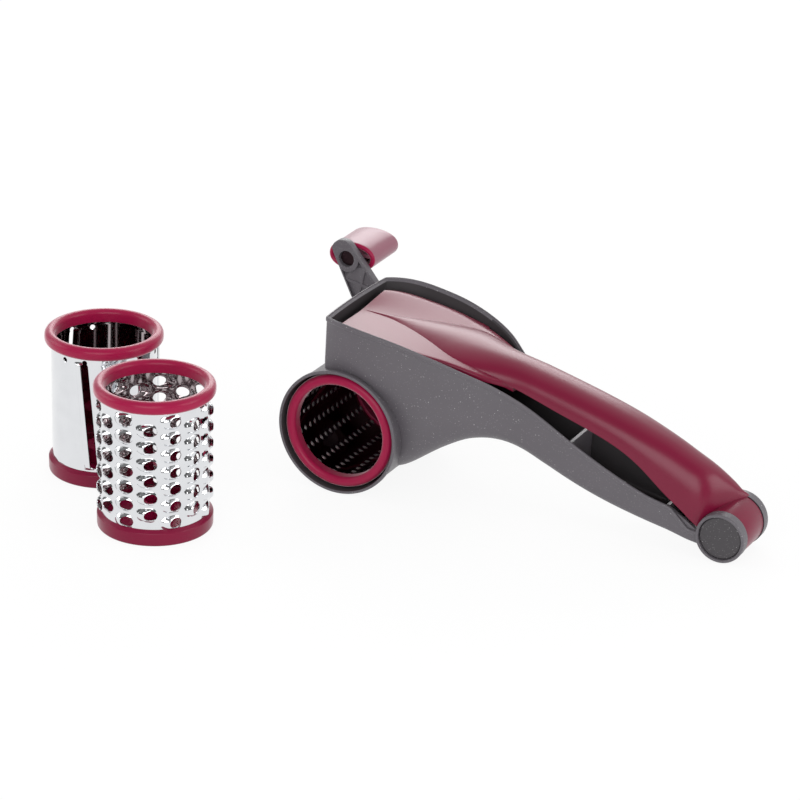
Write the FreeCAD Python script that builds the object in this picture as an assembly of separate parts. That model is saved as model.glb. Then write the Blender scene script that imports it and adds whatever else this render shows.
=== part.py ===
import FreeCAD, Part
import math
import os

# Hand-cranked drum grater with two spare drums. Millimetres.
# The grater lies on its barrel and on the knuckle at the end of its grip.
# While it is modelled, x runs from the drum's axis towards the grip, y from the barrel's open
# mouth to the crank, and z up from the table. The export moves the origin under the middle
# of everything that is on the table.

V = FreeCAD.Vector
X_AXIS, Y_AXIS, Z_AXIS = V(1, 0, 0), V(0, 1, 0), V(0, 0, 1)

# ---- drums: one size for all three, so that each fits the barrel
DRUM_LENGTH = 67.2
FRONT_RING_R = 26.5
FRONT_RING_LIP = 2.9        # the rings stand out from the sleeve
BASE_RING_LIP = 1.7
RING_DEPTH = 1.8            # and reach inside it
RING_H = 5.8
BASE_RING_H = 7.4
RING_ROUND = 1.6
RING_CAP = 1.5              # plastic over the sleeve's edge
SLEEVE_WALL = 0.5
SLEEVE_GAP = 0.05           # sleeve in the rings' grooves
HUB_R = 8.5
HUB_H = 9.0
HUB_RECESS = 2.4            # the hub and its disc start this far inside the base ring's face
BASE_DISC_T = 2.0
DRIVE_FLATS = 9.0           # hexagon across its flats
DRIVE_GAP = 0.1

# fine drum: rows of short slots along the drum
FINE_ROWS = 18
FINE_SLOTS = 13
FINE_SLOT_W = 1.0
FINE_SLOT_L = 2.6
# coarse drum: staggered columns of oval holes
COARSE_COLUMNS = 14
COARSE_PITCH = 7.7
COARSE_LONG_COLUMN = 7
COARSE_HOLE_W = 4.6
COARSE_HOLE_L = 6.0
# slicing drum: long slanted slots with a row of pin holes over them
SLICER_SLOTS = 3
SLICER_SLOT_W = 4.0
SLICER_SLOT_L = 47.0
SLICER_SLANT = 6.5          # degrees
SLICER_PIN_HOLE_R = 1.1
SLICER_PIN_DROP = 2.5       # the pin holes lie this far below the front ring

# ---- barrel
DRUM_GAP = 0.7              # round the front ring
BARREL_WALL = 1.1
BEAD_RISE = 0.76            # the bead and the back wall stand out from the barrel
BEAD_W = 2.2
MOUTH_RECESS = 1.0          # the drum's face lies this far inside the mouth
END_GAP = 0.5               # behind the drum
BACK_WALL = 2.0

# ---- crank
JOURNAL_R = 9.0
JOURNAL_GAP = 0.06
FLANGE_R = 13.0
FLANGE_T = 1.6
FLANGE_GAP = 0.15
SPIGOT_L = 9.5
TAIL_FLATS = 8.0
TAIL_GAP = 0.05
TAIL_L = 2.4
ARM_GAP = 0.3               # between the back wall and the crank's boss
ARM_BOSS_H = 1.3
ARM_T = 3.8
ARM_LENGTH = 62.7
ARM_ANGLE = 33.4            # at rest, degrees from upright, away from the grip
ARM_TIP_R = 5.6
ARM_TIP_PAST = 3.8          # the round tip's middle lies this far past the eye
ARM_HUB_R = 12.9
ARM_SKIN = 1.3              # round the ribbed pocket
ARM_FLOOR = 1.2
ARM_RIB = 1.2
ARM_EYE_R = 5.2             # solid round the knob's spindle
SCREW_HEAD_R = 3.6
SCREW_HEAD_H = 1.5
SCREW_R = 1.7
SCREW_L = 9.0
SCREW_GAP = 0.05
SCREW_WEB = 1.1

# ---- knob
KNOB_HALF_W = 11.7
KNOB_HALF_H = 7.5
KNOB_END_HALF_H = 6.7
KNOB_END_DROP = 1.3         # the far end lies this much lower
KNOB_LENGTH = 24.8
KNOB_WALL = 2.0
KNOB_END_ROUND = 2.6
KNOB_GAP = 0.3
EYE_BOSS_H = 1.0            # the arm's boss that the knob runs on
SPINDLE_R = 2.5
SPINDLE_GAP = 0.08
SPINDLE_HEAD_R = 3.6
SPINDLE_HEAD_H = 1.4
SPINDLE_SINK = 1.8          # the head lies this far inside the arm's face
SPINDLE_CATCH_R = 3.3
SPINDLE_CATCH_H = 1.5
KNOB_TUBE_R = 4.6
KNOB_TUBE_L = 15.0
KNOB_WEB = 1.6

# ---- grip and pivot
PIVOT_X = 177.0
KNUCKLE_R = 11.2            # the ears; they rest on the table
EAR_T = 3.5
EAR_GAP = 0.3
CHEEK_T = 1.2
KNUCKLE_W = 20.2            # the lever's barrel between the ears
LEVER_BARREL_R = 10.9
PIN_R = 2.5
PIN_PRESS_GAP = 0.02
PIN_RUN_GAP = 0.08
CAP_R = 10.0
CAP_T = 1.0
CAP_SINK = 0.6
CAP_GAP = 0.05

# ---- housing
HOPPER_LEFT = -7.2
HOPPER_SHIFT = 2.4          # the hopper's middle lies nearer the mouth than the drum's middle
HOPPER_OVER = 0.3           # half of the hopper's width over half of the drum's length
HOPPER_RISE = 24.3          # rim above the barrel, at the left wall
CHAMBER_GAP = 0.4           # the chamber opens the barrel this far beyond the sleeve
WALL = 2.0
FLOOR = 2.2
HALF_GRIP = 12.9            # half width of the grip at its rim
GRIP_START = 65.0           # where the hopper's rim runs into the grip
RIB_T = 1.6
RIB_PLACES = (0.35, 0.765)  # along the grip, from GRIP_START to the pivot
CHUTE_T = 1.8
CHUTE_RISE = 7.5
PARTITION_RISE = 6.6        # over the barrel
RIB_DROP = 0.8              # the ribs' tops under the grip's rim
PRESS_GAP = 0.8             # between the presser and the chamber's walls

# ---- lever
PLATE_T = 2.4
PLATE_INSET = 2.3           # from the hopper's inner wall to the plate's edge
PLATE_LEFT_GAP = 0.5
LEVER_WALL = 2.4
HALF_LEVER = 12.4
HOLLOW_FROM = 0.27          # the handle is hollow underneath between these shares of its length
HOLLOW_TO = 0.86
PRESSER_WALL = 2.0
PRESSER_END = 45.5
BITE_GAP = 3.0              # between the presser and the installed sleeve
CHUTE_GAP = 1.6             # between the presser's right foot and the chute's upper end

# ---- where the spare drums stand
COARSE_PLACE = (-53.0, -66.9)
SLICER_PLACE = (-103.3, -26.9)

# ---- worked out from the above
SLEEVE_R = FRONT_RING_R - FRONT_RING_LIP
BASE_RING_R = SLEEVE_R + BASE_RING_LIP
RING_INNER_R = SLEEVE_R - RING_DEPTH
BORE_R = FRONT_RING_R + DRUM_GAP
BARREL_R = BORE_R + BARREL_WALL
BEAD_R = BARREL_R + BEAD_RISE
AXIS_Z = BEAD_R
BARREL_TOP = AXIS_Z + BARREL_R
DRUM_FACE_Y = MOUTH_RECESS
DRUM_BACK_Y = DRUM_FACE_Y + DRUM_LENGTH
WALL_INNER_Y = DRUM_BACK_Y + END_GAP
WALL_OUTER_Y = WALL_INNER_Y + BACK_WALL
MID_Y = DRUM_FACE_Y + DRUM_LENGTH / 2 - HOPPER_SHIFT
HOPPER_HALF = DRUM_LENGTH / 2 + HOPPER_OVER
PIVOT_Z = KNUCKLE_R
EAR_INNER = KNUCKLE_W / 2 + EAR_GAP
EAR_OUTER = EAR_INNER + EAR_T
ARM_FRONT_Y = WALL_OUTER_Y + ARM_GAP + ARM_BOSS_H
ARM_BACK_Y = ARM_FRONT_Y + ARM_T
EYE = V(-ARM_LENGTH * math.sin(math.radians(ARM_ANGLE)), 0,
        AXIS_Z + ARM_LENGTH * math.cos(math.radians(ARM_ANGLE)))
KNOB_FRONT_Y = ARM_BACK_Y + EYE_BOSS_H + KNOB_GAP
KNOB_BACK_Y = KNOB_FRONT_Y + KNOB_LENGTH
ORIGIN = V((SLICER_PLACE[0] - FRONT_RING_R + PIVOT_X + KNUCKLE_R) / 2,
           (COARSE_PLACE[1] - FRONT_RING_R + KNOB_BACK_Y) / 2, 0)
BIG = 400.0


def grip_x(share):
    """A place along the grip: 0 where the hopper ends, 1 at the pivot."""
    return GRIP_START + share * (PIVOT_X - GRIP_START)


# The hopper's rim, from the left wall to the end of the grip: height of the rim,
# half width at the rim, and how much the wall leans outwards for each mm of height.
RIM = [
    (HOPPER_LEFT, BARREL_TOP + HOPPER_RISE, HOPPER_HALF - 4.1, 0.19),
    (2.0, BARREL_TOP + HOPPER_RISE, HOPPER_HALF - 1.4, 0.19),
    (12.0, BARREL_TOP + HOPPER_RISE - 1.1, HOPPER_HALF, 0.19),
    (30.0, BARREL_TOP + HOPPER_RISE - 4.1, HOPPER_HALF - 0.6, 0.19),
    (45.0, BARREL_TOP + HOPPER_RISE - 8.5, HOPPER_HALF - 3.1, 0.19),
    (56.0, BARREL_TOP + HOPPER_RISE - 12.9, HOPPER_HALF - 6.7, 0.18),
    (GRIP_START, BARREL_TOP + HOPPER_RISE - 18.1, HOPPER_HALF - 12.1, 0.16),
    (grip_x(0.10), BARREL_TOP + HOPPER_RISE - 24.4, HALF_GRIP + 3.4, 0.13),
    (grip_x(0.20), PIVOT_Z + 38.6, HALF_GRIP + 0.8, 0.10),
    (grip_x(0.30), PIVOT_Z + 32.6, HALF_GRIP + 0.1, 0.08),
    (grip_x(0.45), PIVOT_Z + 23.8, HALF_GRIP, 0.08),
    (grip_x(0.60), PIVOT_Z + 15.9, HALF_GRIP, 0.08),
    (grip_x(0.69), PIVOT_Z + 12.3, HALF_GRIP, 0.08),
    (grip_x(0.77), PIVOT_Z + 10.6, HALF_GRIP, 0.08),
]
# The underside, from the barrel to the knuckle.
UNDERSIDE = [
    (20.0, AXIS_Z - 17.5),
    (37.0, AXIS_Z - 6.0),
    (52.0, AXIS_Z + 3.4),
    (GRIP_START + 3.0, AXIS_Z + 7.0),
    (grip_x(0.19), AXIS_Z + 1.8),
    (grip_x(0.36), PIVOT_Z + 11.0),
    (grip_x(0.55), PIVOT_Z + 3.6),
    (grip_x(0.75), PIVOT_Z - 2.0),
    (grip_x(0.91), PIVOT_Z - 5.8),
]
# Height of the presser plate's top, from the hopper's left wall to the lever's neck.
PLATE_TOP = [
    (HOPPER_LEFT + WALL + PLATE_LEFT_GAP, BARREL_TOP + HOPPER_RISE - 4.3),
    (14.0, BARREL_TOP + HOPPER_RISE - 5.8),
    (34.0, BARREL_TOP + HOPPER_RISE - 8.4),
    (50.0, BARREL_TOP + HOPPER_RISE - 11.9),
    (GRIP_START - 4.0, BARREL_TOP + HOPPER_RISE - 15.6),
    (grip_x(0.07), BARREL_TOP + HOPPER_RISE - 20.3),
    (grip_x(0.12), BARREL_TOP + HOPPER_RISE - 23.3),
]
# The lever's crest, the lower edge of its flanks and its half width, from the hopper to the pivot.
LEVER_CREST = [
    (0.0, BARREL_TOP + HOPPER_RISE - 4.2),
    (42.0, BARREL_TOP + HOPPER_RISE - 7.1),
    (grip_x(0.16), BARREL_TOP + HOPPER_RISE - 14.1),
    (grip_x(0.48), PIVOT_Z + 47.2),
    (grip_x(0.76), PIVOT_Z + 34.9),
    (grip_x(0.95), PIVOT_Z + 22.4),
    (PIVOT_X + 4.6, PIVOT_Z + 8.4),
]
LEVER_EDGE = [
    (0.0, BARREL_TOP + HOPPER_RISE - 6.7),
    (40.0, BARREL_TOP + HOPPER_RISE - 11.7),
    (grip_x(0.10), BARREL_TOP + HOPPER_RISE - 21.3),
    (grip_x(0.40), PIVOT_Z + 37.6),
    (grip_x(0.62), PIVOT_Z + 25.8),
    (grip_x(0.78), PIVOT_Z + 12.4),
    (PIVOT_X - 10.4, PIVOT_Z + 1.4),
]
LEVER_HALF = [1.8, 13.2, 13.4, HALF_LEVER, HALF_LEVER, HALF_LEVER, 11.2]
LEVER_SECTIONS = 13


# ---- small helpers
def cylinder(radius, start, length, direction=Y_AXIS):
    return Part.makeCylinder(radius, length, start, direction)


def along_y(radius, y0, y1, x=0.0, z=AXIS_Z):
    return cylinder(radius, V(x, y0, z), y1 - y0)


def box(x0, x1, y0, y1, z0, z1):
    return Part.makeBox(x1 - x0, y1 - y0, z1 - z0, V(x0, y0, z0))


def spline(points):
    curve = Part.BSplineCurve()
    curve.interpolate(points)
    return curve.toShape()


def face(edges):
    return Part.Face(Part.Wire(edges))


def polygon(points):
    return Part.Face(Part.makePolygon(points + [points[0]]))


def joined(shapes):
    first = shapes[0]
    return first.fuse(shapes[1:]).removeSplitter() if len(shapes) > 1 else first


def rounded_ring(r_out, r_in, y0, y1, round_at_y0, radius):
    """A ring about the y axis through the origin, with both corners of one end rounded."""
    ring = along_y(r_out, y0, y1, 0, 0).cut(along_y(r_in, y0 - 1, y1 + 1, 0, 0))
    end = y0 if round_at_y0 else y1
    edges = [e for e in ring.Edges if e.BoundBox.YLength < 0.01 and abs(e.BoundBox.YMin - end) < 0.01
             and e.Length > 2 * math.pi * (r_in + r_out) / 2]
    return ring.makeFillet(radius, edges)


def hexagon(flats, y0, y1):
    corner = flats / 2 / math.cos(math.pi / 6)
    points = [V(corner * math.cos(k * math.pi / 3), y0, corner * math.sin(k * math.pi / 3))
              for k in range(6)]
    return polygon(points).extrude(V(0, y1 - y0, 0))


# ---- a drum, built with its axis on y, its face at 0 and its base ring at DRUM_LENGTH
def ring_groove(y0, y1):
    outer = along_y(SLEEVE_R + SLEEVE_GAP, y0, y1, 0, 0)
    return outer.cut(along_y(SLEEVE_R - SLEEVE_WALL - SLEEVE_GAP, y0 - 1, y1 + 1, 0, 0))


def drum_front_ring():
    ring = rounded_ring(FRONT_RING_R, RING_INNER_R, 0, RING_H, True, RING_ROUND)
    return ring.cut(ring_groove(RING_CAP, RING_H + 1))


def drum_base_ring():
    """The rear ring, closed by a disc with the hub that the crank's spigot drives."""
    y1 = DRUM_LENGTH
    ring = rounded_ring(BASE_RING_R, RING_INNER_R, y1 - BASE_RING_H, y1, False, RING_ROUND / 2)
    hub_back = y1 - HUB_RECESS
    hub = along_y(HUB_R, hub_back - HUB_H, hub_back, 0, 0)
    disc = along_y(RING_INNER_R + RING_DEPTH / 2 - SLEEVE_WALL, hub_back - BASE_DISC_T, hub_back, 0, 0)
    socket = hexagon(DRIVE_FLATS + 2 * DRIVE_GAP, hub_back - HUB_H - 1, hub_back + 1)
    return joined([ring, hub, disc]).cut(socket).cut(ring_groove(y1 - BASE_RING_H - 1, y1 - RING_CAP))


def plain_sleeve():
    y0, y1 = RING_CAP, DRUM_LENGTH - RING_CAP
    return along_y(SLEEVE_R, y0, y1, 0, 0).cut(along_y(SLEEVE_R - SLEEVE_WALL, y0 - 1, y1 + 1, 0, 0))


def turned(shape, degrees):
    copy = shape.copy()
    copy.rotate(V(0, 0, 0), Y_AXIS, degrees)
    return copy


def rounded_slot(width, length, direction):
    """A cutter through the sleeve at x = SLEEVE_R, long along y or round the drum."""
    half = (length - width) / 2
    run = Y_AXIS if direction == "along" else Z_AXIS
    ends = [cylinder(width / 2, V(SLEEVE_R - 3, 0, 0) + run * s * half, 6, X_AXIS) for s in (-1, 1)]
    across = width / 2
    if direction == "along":
        middle = box(SLEEVE_R - 3, SLEEVE_R + 3, -half, half, -across, across)
    else:
        middle = box(SLEEVE_R - 3, SLEEVE_R + 3, -across, across, -half, half)
    return joined(ends + [middle])


def fine_sleeve():
    free = DRUM_LENGTH - 2 * RING_H
    pitch = free / FINE_SLOTS
    cutters = []
    for row in range(FINE_ROWS):
        for k in range(FINE_SLOTS):
            slot = box(SLEEVE_R - 3, SLEEVE_R + 3, -FINE_SLOT_W / 2, FINE_SLOT_W / 2,
                       -FINE_SLOT_L / 2, FINE_SLOT_L / 2)
            slot.translate(V(0, RING_H + (k + 0.5) * pitch, 0))
            cutters.append(turned(slot, row * 360 / FINE_ROWS))
    return plain_sleeve().cut(Part.makeCompound(cutters))


def coarse_sleeve():
    cutters = []
    middle = DRUM_LENGTH / 2
    for column in range(COARSE_COLUMNS):
        count = COARSE_LONG_COLUMN - column % 2
        for k in range(count):
            hole = rounded_slot(COARSE_HOLE_W, COARSE_HOLE_L, "round")
            hole.translate(V(0, middle + (k - (count - 1) / 2) * COARSE_PITCH, 0))
            cutters.append(turned(hole, column * 360 / COARSE_COLUMNS))
    return plain_sleeve().cut(Part.makeCompound(cutters))


def slicer_sleeve():
    cutters = []
    for k in range(SLICER_SLOTS):
        slot = rounded_slot(SLICER_SLOT_W, SLICER_SLOT_L, "along")
        slot.rotate(V(0, 0, 0), X_AXIS, SLICER_SLANT)
        slot.translate(V(0, DRUM_LENGTH / 2, 0))
        cutters.append(turned(slot, k * 360 / SLICER_SLOTS))
        pin_hole = cylinder(SLICER_PIN_HOLE_R, V(SLEEVE_R - 3, RING_H + SLICER_PIN_DROP, 0), 6, X_AXIS)
        cutters.append(turned(pin_hole, (k + 0.4) * 360 / SLICER_SLOTS))
    return plain_sleeve().cut(Part.makeCompound(cutters))


def standing(shape, place):
    """A drum stood on its base ring at a place on the table."""
    copy = shape.copy()
    copy.rotate(V(0, 0, 0), X_AXIS, -90)
    copy.translate(V(place[0], place[1], DRUM_LENGTH))
    return copy


def installed(shape):
    copy = shape.copy()
    copy.translate(V(0, DRUM_FACE_Y, AXIS_Z))
    return copy


# ---- the housing: barrel, hopper and lower grip in one moulding
def half_width_at(point, z):
    x, rim_z, half, lean = point
    return half - lean * (rim_z - z)


def plan_wire(z, inset):
    """The housing's outline seen from above at one height, moved in by a wall."""
    left = HOPPER_LEFT + inset
    points = [(p[0], half_width_at(p, z) - inset) for p in RIM[1:]]
    points = [(left, half_width_at(RIM[0], z) - inset)] + points
    end = PIVOT_X
    points.append((end, points[-1][1]))
    near = [V(x, MID_Y - w, z) for x, w in points]
    far = [V(x, MID_Y + w, z) for x, w in points]
    edges = [spline(near), Part.makeLine(near[-1], far[-1]), spline(far), Part.makeLine(far[0], near[0])]
    return Part.Wire(Part.__sortEdges__(edges))


def boat(inset):
    """The leaning walls of the hopper and the grip, from below the table to over the rim."""
    return Part.makeLoft([plan_wire(0.0, inset), plan_wire(RIM[0][1] + 5, inset)], True, True)


def side_band(lift, inset):
    """The housing's side outline without the barrel, as a slab across y.
    lift raises the underside by the floor, and inset moves the left wall in."""
    left = HOPPER_LEFT + inset
    top_over = 8.0 if inset else 0.0
    rim = [V(p[0] if k else left, 0, p[1] + top_over) for k, p in enumerate(RIM)]
    under = [V(x, 0, z + lift) for x, z in UNDERSIDE]
    corner = V(left, 0, AXIS_Z + 6)
    nose = V(PIVOT_X - 10.5, 0, under[-1].z + 3.0 + top_over)
    edges = [Part.makeLine(corner, rim[0]), spline(rim), Part.makeLine(rim[-1], nose),
             Part.makeLine(nose, under[-1]), spline(under[::-1]), Part.makeLine(under[0], corner)]
    slab = face(edges).extrude(V(0, BIG, 0))
    slab.translate(V(0, MID_Y - BIG / 2, 0))
    return slab


def pivot_arc(radius, thickness, y0, y1, z0, z1):
    """A wall bent round the lever's pivot, so that the presser slides past it."""
    ring = along_y(radius, y0, y1, PIVOT_X, PIVOT_Z)
    ring = ring.cut(along_y(radius - thickness, y0 - 1, y1 + 1, PIVOT_X, PIVOT_Z))
    return ring.common(box(0, PIVOT_X, y0, y1, z0, z1))


def presser_clear_radius():
    """The presser's lower right corner, measured from the pivot."""
    return math.hypot(PIVOT_X - PRESSER_END, presser_bottom_right() - PIVOT_Z)


def chute_low_z():
    """Where the chute's top leaves the barrel."""
    return AXIS_Z + math.sqrt(BARREL_R ** 2 - chamber_right() ** 2)


def chamber_right():
    """The chamber opens the barrel up to here."""
    return SLEEVE_R + CHAMBER_GAP


def presser_bottom_right():
    return chute_low_z() + CHUTE_RISE + CHUTE_GAP


def body_shell():
    outer_boat = boat(0).common(side_band(0, 0))
    barrel = along_y(BARREL_R, 0, WALL_OUTER_Y)
    front_bead = along_y(BEAD_R, 0, BEAD_W)
    back_plate = along_y(BEAD_R, WALL_INNER_Y, WALL_OUTER_Y)
    ears = [along_y(KNUCKLE_R, MID_Y + s * EAR_INNER - (EAR_T if s < 0 else 0),
                    MID_Y + s * EAR_INNER + (EAR_T if s > 0 else 0), PIVOT_X, PIVOT_Z) for s in (-1, 1)]
    cheeks = [ear_cheek(s) for s in (-1, 1)]
    hollow = boat(WALL).common(side_band(FLOOR, WALL))
    keep = joined([barrel, chute(), partition()] + ribs())
    opening = hollow.common(box(HOPPER_LEFT + WALL, chamber_right(), -BIG, BIG, AXIS_Z, BIG))
    shell = joined([outer_boat, barrel, front_bead, back_plate])
    shell = shell.cut(hollow.cut(keep)).cut(opening)
    shell = shell.cut(along_y(LEVER_BARREL_R + EAR_GAP, MID_Y - EAR_INNER, MID_Y + EAR_INNER,
                              PIVOT_X, PIVOT_Z))
    shell = joined([shell] + cheeks + ears)
    bore = along_y(BORE_R, -1, WALL_INNER_Y)
    journal_hole = along_y(JOURNAL_R + JOURNAL_GAP, WALL_INNER_Y - 1, WALL_OUTER_Y + 1)
    pin_hole = along_y(PIN_R + PIN_PRESS_GAP, -BIG, BIG, PIVOT_X, PIVOT_Z)
    shell = shell.cut(bore).cut(journal_hole).cut(pin_hole)
    for s in (-1, 1):
        shell = shell.cut(cap_seat(s))
    return shell.removeSplitter()


def ear_cheek(side):
    """A thin web that carries an ear, a step inside the grip's wall."""
    x0, x1 = grip_x(0.74), PIVOT_X - KNUCKLE_R * 0.8
    web = polygon([V(x0, 0, PIVOT_Z + 2), V(x0 + 3, 0, PIVOT_Z + 10.2), V(grip_x(0.84), 0, PIVOT_Z + 4.8),
                   V(x1, 0, PIVOT_Z - 1.2), V(x1, 0, PIVOT_Z - 5.6), V(x0, 0, PIVOT_Z - 1)])
    web = web.extrude(V(0, CHEEK_T, 0))
    web.translate(V(0, MID_Y + (EAR_INNER if side > 0 else -EAR_INNER - CHEEK_T), 0))
    return web


def cap_seat(side):
    depth = CAP_SINK + CAP_T
    outer = EAR_OUTER
    y0 = MID_Y - outer - 1 if side < 0 else MID_Y + outer - depth
    return along_y(CAP_R + CAP_GAP, y0, y0 + depth + 1, PIVOT_X, PIVOT_Z)


def chute():
    """The floor of the feed chamber, from the barrel up to the bent wall."""
    low, high = chute_low_z(), chute_low_z() + CHUTE_RISE
    x0, x1 = chamber_right() - 3.0, PRESSER_END + 1.5
    slope = (high - low) / (x1 - chamber_right())
    start = low - 3.0 * slope
    board = polygon([V(x0, 0, start), V(x1, 0, high), V(x1, 0, high - CHUTE_T), V(x0, 0, start - CHUTE_T)])
    board = board.extrude(V(0, BIG, 0))
    board.translate(V(0, MID_Y - BIG / 2, 0))
    return board


def partition():
    high = chute_low_z() + CHUTE_RISE - CHUTE_T
    return pivot_arc(presser_clear_radius() - PRESS_GAP, CHUTE_T, MID_Y - 60, MID_Y + 60,
                     high, BARREL_TOP + PARTITION_RISE)


def ribs():
    """Cross ribs that stiffen the grip's channel, level with its rim or a little lower."""
    places = [grip_x(share) for share in RIB_PLACES]
    return [box(x, x + RIB_T, MID_Y - 60, MID_Y + 60, -5, rib_top(x)) for x in places]


def rib_top(x):
    for (x0, z0, _, _), (x1, z1, _, _) in zip(RIM, RIM[1:]):
        if x0 <= x <= x1:
            return z0 + (z1 - z0) * (x - x0) / (x1 - x0) - RIB_DROP
    return PIVOT_Z


# ---- the lever: presser plate, arched handle and knuckle in one moulding
def plate_outline():
    points = []
    for x, z in PLATE_TOP[:-2]:
        points.append((x, rim_half_width(x, z) - WALL - PLATE_INSET))
    for x, _ in PLATE_TOP[-2:]:
        points.append((x, HALF_LEVER))
    near = [V(x, MID_Y - w, 0) for x, w in points]
    far = [V(x, MID_Y + w, 0) for x, w in points]
    edges = [spline(near), Part.makeLine(near[-1], far[-1]), spline(far), Part.makeLine(far[0], near[0])]
    return Part.Face(Part.Wire(Part.__sortEdges__(edges))).extrude(V(0, 0, BIG))


def rim_half_width(x, z):
    for a, b in zip(RIM, RIM[1:]):
        if a[0] <= x <= b[0]:
            t = (x - a[0]) / (b[0] - a[0])
            return half_width_at(tuple(u + (v - u) * t for u, v in zip(a, b)), z)
    return HALF_GRIP


def plate_band(drop_top, drop_bottom):
    """A curved slab that follows the plate's top, between two depths under it."""
    top = [V(x, 0, z - drop_top) for x, z in PLATE_TOP]
    low = [V(x, 0, z - drop_bottom) for x, z in PLATE_TOP]
    edges = [spline(top), Part.makeLine(top[-1], low[-1]), spline(low[::-1]), Part.makeLine(low[0], top[0])]
    slab = face(edges).extrude(V(0, BIG, 0))
    slab.translate(V(0, MID_Y - BIG / 2, 0))
    return slab


def arch(crest, edge, half, inset, drop):
    """One section of the handle: a round arch over a straight lower edge."""
    foot = V(edge.x, MID_Y, edge.z)
    up = V(crest.x, MID_Y, crest.z) - foot
    height = up.Length - inset
    up.normalize()
    foot = foot - up * drop
    height = height + drop
    width = half - inset
    points = []
    steps = 12
    for k in range(steps + 1):
        angle = math.pi * k / steps
        side = math.copysign(abs(math.cos(angle)) ** 0.75, math.cos(angle))
        rise = math.sin(angle) ** 0.75
        points.append(foot + Y_AXIS * (width * side) + up * (height * rise))
    return Part.Wire([spline(points), Part.makeLine(points[-1], points[0])])


def lever_sections(first, last, inset, drop):
    """Sections of the handle, evenly spaced between two shares of its length."""
    count = len(LEVER_HALF) - 1
    knots = [k / count for k in range(count + 1)]
    crest, edge, half = Part.BSplineCurve(), Part.BSplineCurve(), Part.BSplineCurve()
    crest.interpolate(Points=[V(x, 0, z) for x, z in LEVER_CREST], Parameters=knots)
    edge.interpolate(Points=[V(x, 0, z) for x, z in LEVER_EDGE], Parameters=knots)
    half.interpolate(Points=[V(t, w, 0) for t, w in zip(knots, LEVER_HALF)], Parameters=knots)
    places = [first + (last - first) * k / (LEVER_SECTIONS - 1) for k in range(LEVER_SECTIONS)]
    return [arch(crest.value(t), edge.value(t), half.value(t).y, inset, drop) for t in places]


def handle():
    return Part.makeLoft(lever_sections(0, 1, 0, 0), True, False)


def lever_shell():
    plate = plate_outline().common(plate_band(0, PLATE_T))
    barrel = along_y(LEVER_BARREL_R, MID_Y - KNUCKLE_W / 2, MID_Y + KNUCKLE_W / 2, PIVOT_X, PIVOT_Z)
    inner = Part.makeLoft(lever_sections(HOLLOW_FROM, HOLLOW_TO, LEVER_WALL, 4.0), True, False)
    whole = joined([plate, handle(), barrel]).cut(inner)
    for s in (-1, 1):
        y0 = MID_Y + KNUCKLE_W / 2 if s > 0 else MID_Y - BIG
        whole = whole.cut(along_y(KNUCKLE_R + EAR_GAP, y0, y0 + BIG - KNUCKLE_W / 2, PIVOT_X, PIVOT_Z))
    return whole.cut(along_y(PIN_R + PIN_RUN_GAP, -BIG, BIG, PIVOT_X, PIVOT_Z)).removeSplitter()


def presser_block():
    """The hollow block under the plate that pushes food on to the drum."""
    x0 = HOPPER_LEFT + WALL + PLATE_LEFT_GAP
    bottom_right = presser_bottom_right()
    bite_r = SLEEVE_R + BITE_GAP
    bend_x = SLEEVE_R * 0.8
    bend_z = AXIS_Z + math.sqrt(bite_r ** 2 - bend_x ** 2)
    start_z = AXIS_Z + math.sqrt(bite_r ** 2 - x0 ** 2)
    middle_x = (x0 + bend_x) / 2
    middle_z = AXIS_Z + math.sqrt(bite_r ** 2 - middle_x ** 2)
    bite = Part.Arc(V(x0, 0, start_z), V(middle_x, 0, middle_z), V(bend_x, 0, bend_z)).toShape()
    top = BARREL_TOP + 30
    edges = [bite, Part.makeLine(V(bend_x, 0, bend_z), V(PRESSER_END, 0, bottom_right)),
             Part.makeLine(V(PRESSER_END, 0, bottom_right), V(PRESSER_END, 0, top)),
             Part.makeLine(V(PRESSER_END, 0, top), V(x0, 0, top)),
             Part.makeLine(V(x0, 0, top), V(x0, 0, start_z))]
    slab = face(edges).extrude(V(0, BIG, 0))
    slab.translate(V(0, MID_Y - BIG / 2, 0))
    block = slab.common(boat(WALL + PRESS_GAP))
    raised = slab.copy()
    raised.translate(V(0, 0, PRESSER_WALL))
    core = boat(WALL + PRESS_GAP + PRESSER_WALL)
    core = core.common(box(x0 + PRESSER_WALL, PRESSER_END - PRESSER_WALL, -BIG, BIG, 0, BIG))
    block = block.cut(raised.common(core))
    return block.common(plate_band(PLATE_T, PLATE_T + 60)).cut(handle())


def pivot_pin():
    reach = EAR_OUTER - CAP_SINK - CAP_T
    return along_y(PIN_R, MID_Y - reach, MID_Y + reach, PIVOT_X, PIVOT_Z)


def pivot_cap(side):
    outer = EAR_OUTER - CAP_SINK
    y0 = MID_Y - outer if side < 0 else MID_Y + outer - CAP_T
    disc = along_y(CAP_R, y0, y0 + CAP_T, PIVOT_X, PIVOT_Z)
    rim_y = y0 if side < 0 else y0 + CAP_T
    edges = [e for e in disc.Edges if abs(e.BoundBox.YMin - rim_y) < 0.01 and e.BoundBox.YLength < 0.01]
    return disc.makeFillet(0.35, edges)


# ---- the crank
def square(flats, y0, y1):
    return box(-flats / 2, flats / 2, y0, y1, AXIS_Z - flats / 2, AXIS_Z + flats / 2)


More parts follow.
